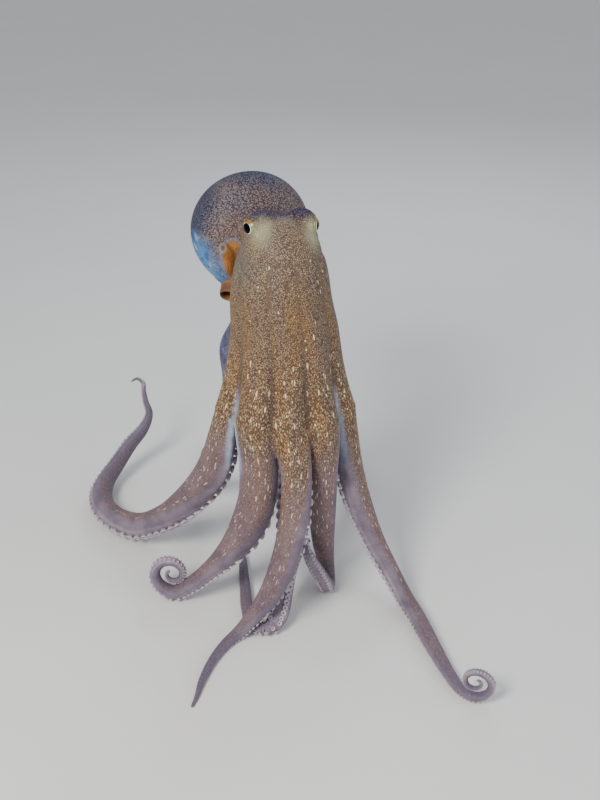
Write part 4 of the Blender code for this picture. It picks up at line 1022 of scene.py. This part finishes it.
# %% Skin material
skin_look, wires, skin = new_material("octopus skin")
flow = wires.mark("flow", "Vector")
place = wires.place()
down_arm = wires.mark("down_arm")
mantle = wires.mark("mantle")
stretch = wires.span(wires.mark("from_crown"), -0.11, -0.01, 1.15, 2.1)
net = wires.add("ShaderNodeGroup", node_tree=net_group,
                inputs={"Flow": flow, "Cells per metre": 900.0, "Stretch": stretch}).outputs
dash_amount = wires.span(wires.mark("from_crown"), -0.085, 0.03, 0.06, 0.62)
dashes = wires.add("ShaderNodeGroup", node_tree=dash_group,
                   inputs={"Flow": flow, "Amount": dash_amount}).outputs["Dashes"]
sac = wires.add("ShaderNodeGroup", node_tree=net_group,
                inputs={"Flow": place, "Cells per metre": 640.0, "Fill": 0.64}).outputs

clouds = wires.noise(place, 70.0, 4.0)
broad = wires.noise(place, 24.0)
streaks = wires.noise(wires.scaled(flow, (9.0, 62.0, 20.0)), 1.0)


def cloudy(one, other):
    """Two colours in soft clouds."""
    return wires.mix(wires.span(clouds, 0.3, 0.7), one, other)


def layered(colour, *layers):
    """Lays colours over a first one, each by its own share."""
    for share, top in layers:
        colour = wires.mix(share, colour, top)
    return colour


ochre = layered(
    wires.mix(wires.span(streaks, 0.42, 0.60), (126, 102, 86), (150, 110, 62)),
    (wires.span(clouds, 0.35, 0.70, 0.0, 0.35), (108, 84, 70)),
    (wires.span(wires.mark("from_crown"), -0.131, -0.085, 0.70, 0.0), (116, 106, 100)))
mauve = wires.mix(wires.span(clouds, 0.35, 0.65), (108, 87, 88), (134, 109, 106))
mauve = wires.mix(wires.span(down_arm, 0.45, 0.85), mauve, (104, 96, 114))
swing = wires.times(wires.math("SUBTRACT", broad, 0.5), 0.30)
faded = wires.math("ADD", wires.math("ADD", down_arm, swing), wires.mark("sooner"))
faded = wires.span(faded, 0.0, 0.50)
grain = wires.times(net["Cells"], wires.span(net["Random"], 0.0, 1.0, 0.70, 1.0))
grain = wires.times(grain, wires.span(faded, 0.0, 1.0, 0.70, 0.40))
pale = wires.mix(streaks, (190, 170, 142), (208, 172, 114))
on_back = wires.span(wires.mark("facing"), 0.36, 0.26)
flank = wires.span(wires.mark("facing"), 0.26, 0.42)
body = layered(
    wires.mix(faded, ochre, mauve),
    (wires.times(net["Net"], wires.span(faded, 0.0, 1.0, 0.86, 0.50)),
     wires.mix(faded, (66, 46, 34), (84, 66, 80))),
    (grain, wires.mix(faded, pale, (150, 132, 140))),
    (wires.times(dashes, wires.times(on_back, wires.span(down_arm, 0.25, 0.70, 0.90, 0.10))),
     wires.mix(faded, (240, 222, 184), (196, 178, 170))),
    # painted shade in the grooves between neighbouring arms
    (wires.marked("border", 0.55), (62, 46, 44)),
    (wires.times(flank, wires.span(down_arm, 0.0, 0.14, 0.0, 0.75)), cloudy((102, 94, 112), (130, 118, 136))),
    # pale blue on these webs and arm edges: partly their own tone, partly a painted bluish highlight
    (wires.marked("pale_web", 0.80), cloudy((120, 132, 158), (176, 184, 200))),
    (wires.marked("violet", 0.78), cloudy((40, 44, 84), (82, 92, 140))),
    (wires.span(wires.mark("facing"), 0.52, 0.62), cloudy((128, 114, 130), (160, 146, 158))),
    (wires.marked("cheek", 0.90), wires.mix(grain, (92, 88, 80), (138, 134, 118))))

sac_grain = wires.times(sac["Cells"], wires.span(sac["Random"], 0.0, 1.0, 0.60, 1.0))
streaky = wires.noise(wires.scaled(place, (60.0, 60.0, 150.0)), 1.0, 4.0)
# painted rim light: sky blue with whitish painted highlights, for the mantle's lower left edge
painted_rim_light_colour = wires.mix(wires.span(streaky, 0.35, 0.50), (28, 90, 164), (70, 134, 188))
painted_rim_light_colour = wires.mix(wires.span(streaky, 0.56, 0.72), painted_rim_light_colour, (184, 200, 220))
sac_colour = layered(
    wires.mix(wires.span(broad, 0.35, 0.65), (84, 78, 88), (120, 92, 72)),
    (wires.marked("warm", 0.85), (134, 96, 68)),
    (wires.mark("mantle_dark"), (38, 44, 68)),
    (wires.times(sac["Net"], 0.85), (40, 34, 52)),
    (wires.times(sac_grain, 0.52), wires.mix(wires.mark("mantle_dark"), (160, 146, 144), (108, 118, 146))),
    (wires.marked("rim_blue", wires.span(clouds, 0.25, 0.5, 0.70, 0.98)), painted_rim_light_colour),
    (wires.marked("rim", 0.45), (150, 170, 190)),
    (wires.mark("pocket"), cloudy((146, 92, 40), (186, 126, 60))),
    (wires.mark("hole_rim"), (170, 164, 156)),
    # painted shade: the ring's dark middle stands for the shaded inside of a hole
    (wires.mark("hole"), (74, 68, 66)))
crest_colour = wires.mix(wires.times(net["Net"], 0.9), (60, 54, 92), (18, 14, 38))
crest_colour = wires.mix(wires.times(grain, 0.50), crest_colour, (140, 130, 152))
orange = cloudy((100, 68, 44), (148, 98, 54))
colour = layered(
    body,
    (wires.marked("crest", 0.92), crest_colour),
    (wires.marked("patch", wires.span(clouds, 0.2, 0.6, 0.78, 0.95)),
     wires.mix(grain, (160, 158, 122), (192, 190, 160))),
    (mantle, sac_colour),
    (wires.mark("siphon"), wires.mix(wires.times(sac["Net"], 0.25), orange, (92, 68, 60))))
dull = wires.math("MAXIMUM", wires.mark("crest"), wires.marked("mantle_dark", 0.8))
relief = wires.math("ADD", grain, wires.times(net["Net"], -0.6))
relief = wires.mix(mantle, relief, wires.math("SUBTRACT", sac["Cells"], sac["Net"]))
relief = wires.mix(wires.mark("siphon"), relief, (0.0, 0.0, 0.0, 1.0))
wires.fill(skin, {
    "Base Color": colour,
    "Roughness": wires.span(clouds, 0.3, 0.7, 0.54, 0.66),
    "Specular IOR Level": wires.span(dull, 0.0, 1.0, 0.32, 0.04),
    "Coat Weight": wires.span(dull, 0.0, 1.0, 0.06, 0.0),
    "Coat Roughness": 0.35,
    "Normal": wires.bump(relief, 0.55, 0.0004)})
print("skin nodes", len(wires.tree.nodes))

# %% [markdown]
# ## Suckers
# Two rows of suckers run along each arm, from the mouth to the tip, and shrink with the arm.
# Each is a cup on a short neck, with a swollen rim and a dished floor whose centre is painted
# dark as shade. They stand close in each row, lean away from the arm's middle and vary in size.

# %% Suckers of every arm
SUCKER_SHARE = 0.50         # diameter, as a share of the arm's half width
SUCKER_LARGE = {"arm_l4": 1.75}     # this arm shows the largest ones
LARGE_TO = 0.43             # down to this share of the arm's length
LARGE_FADE = 0.08
SUCKER_CLOSER = {"arm_l4": 0.84}    # and has them closer together
SUCKER_EXTRA = 0.0004
SUCKER_FIRST = 0.0020       # diameter next to the mouth
SUCKER_PITCH = 1.12         # distance between two in a row, in diameters
SUCKER_LEAN = math.radians(32)
SUCKER_TURN = 36.0          # degrees round the arm from its sucker side's middle
SUCKERS_FROM = 0.274        # height in the crown at which the rows begin
SUCKER_SIDES = 14
SUCKER_DROOP = 0.25         # how far those in the crown point downwards
SUCKER_END = 0.004          # the last stands at least this far before the tip
SUCKER_VARY = (0.93, 1.05)
SUCKER_ROOT = 0.36          # how deep the neck stands in the arm, in diameters
SUCKER_FLOOR = 0.15         # height of the cup's middle, in diameters
# height and radius as shares of the diameter, and how far into the cup: 0 neck, 1 rim, 2 centre
SUCKER_PROFILE = (
    (-SUCKER_ROOT, 0.34, 0.0), (0.02, 0.33, 0.0), (0.14, 0.38, 0.3), (0.26, 0.47, 0.7), (0.34, 0.50, 1.0),
    (0.385, 0.465, 1.0), (0.38, 0.40, 1.1), (0.30, 0.32, 1.4), (0.22, 0.24, 1.6), (0.19, 0.12, 1.9))


def sucker_size(path, place):
    large = SUCKER_LARGE.get(ARM_ORDER[path.index], 1.0)
    large += (1.0 - large) * smooth_step((place / path.length - LARGE_TO) / LARGE_FADE)
    factor = SUCKER_SHARE * large
    if place >= 0.0:
        return factor * path.row(place)[3] + SUCKER_EXTRA
    share = (SUCKERS_FROM - CROWN_LOW + place) / (SUCKERS_FROM - CROWN_LOW)
    full = factor * path.row(0.0)[3] + SUCKER_EXTRA
    return SUCKER_FIRST + (full - SUCKER_FIRST) * max(share, 0.0) ** 0.8


def sucker_seat(path, place, row):
    """A point on the arm and the direction that a sucker there stands in."""
    turn = 180.0 - row * SUCKER_TURN
    if place < 0.0:
        height = CROWN_LOW - place
        point = crown_surface(path.index, height, turn)
        inward = (crown_centre(height) - point).normalized()
        return point, (inward + Vector((0.0, 0.0, -SUCKER_DROOP))).normalized()
    _, _, _, oral, side = path.frame(place)
    return path.surface(place, turn), oral * math.cos(SUCKER_LEAN) + side * row * math.sin(SUCKER_LEAN)


def sucker_row(shells, path, row):
    """One row of suckers, each set its own diameter away from the last."""
    place = CROWN_LOW - SUCKERS_FROM + (0.5 * SUCKER_FIRST if row > 0 else 0.0)
    made = 0
    while place < path.length - SUCKER_END:
        wide = sucker_size(path, place) * random.uniform(*SUCKER_VARY)
        seat, out_way = sucker_seat(path, place, row)
        across = out_way.orthogonal().normalized()
        other = out_way.cross(across)
        own_tone = random.random()
        rings = [circle(seat + out_way * height * wide, across, other, radius * wide, SUCKER_SIDES)
                 for height, radius, _ in SUCKER_PROFILE]
        facts = [(cup, own_tone, max(place, 0.0) / path.length) for _, _, cup in SUCKER_PROFILE]
        root = seat - out_way * wide * SUCKER_ROOT
        shells.rings(rings, root, seat + out_way * wide * SUCKER_FLOOR, facts)
        place += SUCKER_PITCH * SUCKER_CLOSER.get(ARM_ORDER[path.index], 1.0) * wide
        made += 1
    return made


sucker_objects = []
for name, path in zip(ARM_ORDER, paths):
    cups = Shells()
    count = sucker_row(cups, path, -1) + sucker_row(cups, path, 1)
    mesh = cups.mesh("suckers_" + name)
    co = np.array(cups.points)
    co[:, 2] = np.maximum(co[:, 2], 0.0)
    mesh.vertices.foreach_set("co", co.ravel())
    facts = np.array(cups.facts)
    mark(mesh, "cup", facts[:, 0])
    mark(mesh, "own_tone", facts[:, 1])
    mark(mesh, "down_arm", facts[:, 2])
    sucker_objects.append(link(bpy.data.objects.new("suckers_" + name, mesh)))
    print(name, "suckers", count)

# %% [markdown]
# ## The suckers' finish
# Sucker flesh is pale lilac and smooth. The rim is palest, and the cup is painted darker towards its centre
# as shade in its hollow.

# %% Sucker material
sucker_look, wires, cup_skin = new_material("sucker flesh")
spots = wires.noise(wires.place(), 420.0)
body = wires.mix(wires.mark("own_tone"), (158, 144, 158), (184, 170, 180))
body = wires.mix(wires.span(wires.mark("cup"), 0.4, 1.0), body, (196, 184, 194))
# painted shade: the cup darkens towards its centre, in its hollow
body = wires.mix(wires.span(wires.mark("cup"), 1.2, 2.0), body, (142, 122, 136))
body = wires.mix(wires.times(wires.span(spots, 0.5, 0.7), 0.35), body, (122, 100, 112))
wires.fill(cup_skin, {
    "Base Color": body, "Roughness": wires.span(spots, 0.3, 0.7, 0.42, 0.55), "Coat Weight": 0.15,
    "Coat Roughness": 0.3, "Normal": wires.bump(spots, 0.25, 0.0002)})
print("sucker nodes", len(wires.tree.nodes))

# %% [markdown]
# ## Eyes
# Each eye is a ball that shows between the ring of its lid. The pupil is a black upright oval
# seen from the front, with a pale yellow iris around it that turns amber above and green
# beside it. A clear wet layer gives the gloss.

# %% Eyeballs
PUPIL_ACROSS = 0.0043
PUPIL_UP = 0.0042
EYE_RINGS = 40
EYE_SIDES = 64


def build_eye(name, side):
    centre, across, up, gaze = eye_axes(side)
    rings = []
    for polar in np.linspace(0.0, math.pi, EYE_RINGS + 1)[1:-1]:
        middle = centre + gaze * math.cos(polar) * EYE_RADIUS
        rings.append(circle(middle, across, up, math.sin(polar) * EYE_RADIUS, EYE_SIDES))
    ball_shell = Shells()
    front, rear = centre + gaze * EYE_RADIUS, centre - gaze * EYE_RADIUS
    ball_shell.rings(rings, front, rear, [0] * len(rings))
    mesh = ball_shell.mesh(name)
    local = np.array(ball_shell.points) - np.array(centre)
    mark(mesh, "sight", np.stack([local @ np.array(axis) for axis in (across * -side, up, gaze)], 1))
    return link(bpy.data.objects.new(name, mesh))


eyes = [build_eye("eyeball_right", -1), build_eye("eyeball_left", 1)]

eye_look, wires, eye = new_material("eye")
sight = wires.add("ShaderNodeSeparateXYZ", {0: wires.mark("sight", "Vector")}).outputs
oval = wires.add("ShaderNodeCombineXYZ", {
    0: wires.math("DIVIDE", sight[0], PUPIL_ACROSS), 1: wires.math("DIVIDE", sight[1], PUPIL_UP)}).outputs[0]
reach = wires.length(oval)
rays = wires.noise(wires.scaled(wires.mark("sight", "Vector"), (900.0, 900.0, 200.0)), 1.0, 4.0)
iris = wires.mix(wires.span(rays, 0.35, 0.65), (168, 160, 90), (196, 190, 124))
iris = wires.mix(wires.span(sight[1], 0.0020, 0.0048), iris, (150, 110, 36))
iris = wires.mix(wires.span(sight[0], 0.0040, 0.0048), iris, (150, 158, 66))
teal_line = wires.math("ABSOLUTE", wires.math("SUBTRACT", reach, 1.24))
teal_line = wires.times(wires.span(teal_line, 0.09, 0.04), wires.span(sight[0], 0.0020, 0.0036))
iris = wires.mix(teal_line, iris, (24, 118, 124))
lid_shade = wires.times(wires.span(reach, 1.22, 1.34), wires.span(sight[0], 0.0, -0.0020))
iris = wires.mix(lid_shade, iris, (52, 46, 48))
cream_ring = wires.times(wires.span(reach, 1.16, 1.08), wires.span(sight[1], 0.0044, 0.0030))
iris = wires.mix(cream_ring, iris, (240, 236, 208))
in_pupil = wires.span(reach, 1.03, 0.97)
wires.fill(eye, {
    "Base Color": wires.mix(in_pupil, iris, (2, 2, 5)),
    "Roughness": wires.span(rays, 0.3, 0.7, 0.06, 0.10),
    "Specular IOR Level": wires.span(in_pupil, 0.0, 1.0, 0.30, 0.03),
    "Coat Weight": wires.span(in_pupil, 0.0, 1.0, 0.40, 0.03),
    "Coat Roughness": 0.04})
print("eye nodes", len(wires.tree.nodes))

# %% [markdown]
# ## Mouth
# Under the crown, where the arms meet, round fleshy lips surround a dark beak like a parrot's.
# Lips are a ring with radial folds; the beak is two hooked halves that close over each other.

# %% Lips and beak
# radius and drop of the lips' outline, as shares of the mouth's own
LIP_PROFILE = ((1.0, 0.0), (1.0, 0.35), (0.96, 0.52), (0.86, 0.66), (0.70, 0.74), (0.52, 0.74),
               (0.40, 0.66), (0.34, 0.50))
LIP_SIDES = 96
LIP_FOLDS = 16
BEAK_RINGS = 14
BEAK_SIDES = 24
BEAK_SPLAY = 0.0016         # the halves part by this much at their roots
BEAK_HOOK = 0.0010          # and reach past each other by this much at their tips
BEAK_FLATTEN = 0.6


def build_lips():
    rings = []
    for share, drop in LIP_PROFILE:
        centre = crown_centre(CROWN_TOP - MOUTH_DROP * drop)
        rings.append([])
        for spoke in circle(Vector(), Vector((1, 0, 0)), Vector((0, 1, 0)), 1.0, LIP_SIDES):
            turn = math.atan2(spoke.y, spoke.x)
            fold = 1.0 - 0.035 * (0.5 + 0.5 * math.cos(LIP_FOLDS * turn)) * smooth_step(drop * 2.0)
            rings[-1].append(centre + spoke * MOUTH_RADIUS * share * fold)
    lips = Shells()
    lips.rings(rings, crown_centre(CROWN_TOP), crown_centre(CROWN_TOP - MOUTH_DROP * 0.5), [0] * len(rings))
    return link(bpy.data.objects.new("lips", lips.mesh("lips")))


def build_beak(name, facing_way, reach, length):
    """Half of the beak: a hooked cone that leans towards the other half."""
    rings = []
    for k in range(BEAK_RINGS):
        share = k / BEAK_RINGS
        centre = crown_centre(CROWN_TOP - MOUTH_DROP * (0.40 + length * share))
        apart = BEAK_SPLAY * (1 - share) - BEAK_HOOK * share * share
        centre = centre + Vector((0.0, facing_way * apart, 0.0))
        size = reach * (1.0 - share ** 1.8) + 0.0002
        rings.append(circle(centre, Vector((1.0, 0, 0)), Vector((0, BEAK_FLATTEN, 0)), size, BEAK_SIDES))
    half = Shells()
    tip = sum(rings[-1], Vector()) / BEAK_SIDES - Vector((0.0, facing_way * 0.0004, 0.0010))
    half.rings(rings, sum(rings[0], Vector()) / BEAK_SIDES, tip, [0] * len(rings))
    return link(bpy.data.objects.new(name, half.mesh(name)))


lips = build_lips()
beak = [build_beak("beak_lower", 1.0, 0.0042, 0.66), build_beak("beak_upper", -1.0, 0.0036, 0.58)]

lip_look, wires, lip_skin = new_material("lips")
folds = wires.noise(wires.place(), 300.0)
wires.fill(lip_skin, {
    "Base Color": wires.mix(folds, (150, 120, 122), (198, 174, 172)),
    "Roughness": wires.span(folds, 0.3, 0.7, 0.40, 0.55), "Normal": wires.bump(folds, 0.3, 0.0003)})

beak_look, wires, beak_skin = new_material("beak")
growth = wires.noise(wires.scaled(wires.place(), (200.0, 200.0, 900.0)), 1.0)
wires.fill(beak_skin, {
    "Base Color": wires.mix(growth, (26, 16, 12), (62, 38, 24)),
    "Roughness": wires.span(growth, 0.3, 0.7, 0.22, 0.36), "Normal": wires.bump(growth, 0.2, 0.0001)})
print("mouth pieces", 1 + len(beak))

# %% [markdown]
# ## Put together
# Every piece gets its finish, moves over the origin with the solids, and rides on the one body.
# The skin stands for all nodes of flesh; the lips and beak stand for the mouth's node.

# %% Finishes, places and bodies
skin_object = link(bpy.data.objects.new("octopus_skin", skin_mesh))
looks = [(skin_object, skin_look, "arm_skin"), (lips, lip_look, "mouth_skin")]
looks += [(thing, sucker_look, "arm_skin") for thing in sucker_objects]
looks += [(thing, eye_look, "eye_ball") for thing in eyes]
looks += [(thing, beak_look, "mouth_skin") for thing in beak]
for thing, look, slot in looks:
    thing.data.transform(Matrix.Translation(MODEL_SHIFT))
    thing.data.materials.clear()
    thing.data.materials.append(look)
    thing.data.shade_smooth()
    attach(thing, "root")
flesh_nodes = [name for name in frame["nodes"]
               if name.startswith("arm_") or name in ("head", "mantle", "siphon")]
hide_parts(*flesh_nodes)
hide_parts("mouth")
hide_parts("eye_right")
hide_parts("eye_left")
print("pieces", len(looks), "nodes of flesh", len(flesh_nodes))

# %% [markdown]
# ## Floor, light and camera
# The model stands on a plain pale floor under a large soft lamp from the front left, with a
# weak one from the right and one from behind. The camera looks down at it as in the photo.

# %% Studio
bpy.ops.mesh.primitive_plane_add(size=30.0)
floor = bpy.context.object
floor.name = "floor"
floor_look, wires, floor_paint = new_material("floor paint")
dust = wires.noise(wires.place(), 6.0)
wires.fill(floor_paint, {
    "Base Color": wires.mix(dust, (226, 225, 222), (233, 232, 229)),
    "Roughness": wires.span(dust, 0.3, 0.7, 0.70, 0.80)})
floor.data.materials.append(floor_look)

world = bpy.context.scene.world or bpy.data.worlds.new("studio")
bpy.context.scene.world = world
world.use_nodes = True
sky_light = world.node_tree.nodes["Background"].inputs
sky_light["Color"].default_value = (0.80, 0.84, 0.90, 1.0)
sky_light["Strength"].default_value = 0.62


def lamp(name, place, aim, size, power, colour):
    light = bpy.data.lights.new(name, "AREA")
    light.shape = "DISK"
    light.size = size
    light.energy = power
    light.color = colour
    made = link(bpy.data.objects.new(name, light))
    made.location = place
    made.rotation_euler = (Vector(aim) - Vector(place)).to_track_quat("-Z", "Y").to_euler()


# name, place, aim, width in metres, power in watts, colour
for row in (("front_lamp", (-0.55, -0.95, 1.05), (0.0, 0.0, 0.17), 0.50, 19.0, (1.0, 0.97, 0.92)),
            ("side_lamp", (1.10, -0.45, 0.60), (0.0, 0.0, 0.17), 0.80, 4.0, (0.94, 0.96, 1.0)),
            ("back_lamp", (0.25, 1.10, 0.95), (0.0, 0.0, 0.20), 0.60, 4.0, (0.82, 0.90, 1.0))):
    lamp(*row)

TILT = math.radians(28)
TARGET = Vector((0.008, 0.0, 0.170)) + MODEL_SHIFT
DISTANCE = 0.93
view_way = Vector((0.0, math.cos(TILT), -math.sin(TILT)))
lens = bpy.data.cameras.new("camera")
lens.lens = 50.0
lens.sensor_width = 36.0
camera = link(bpy.data.objects.new("camera", lens))
camera.location = TARGET - view_way * DISTANCE
camera.rotation_euler = view_way.to_track_quat("-Z", "Y").to_euler()
bpy.context.scene.camera = camera
print("camera at", [round(v, 3) for v in camera.location])
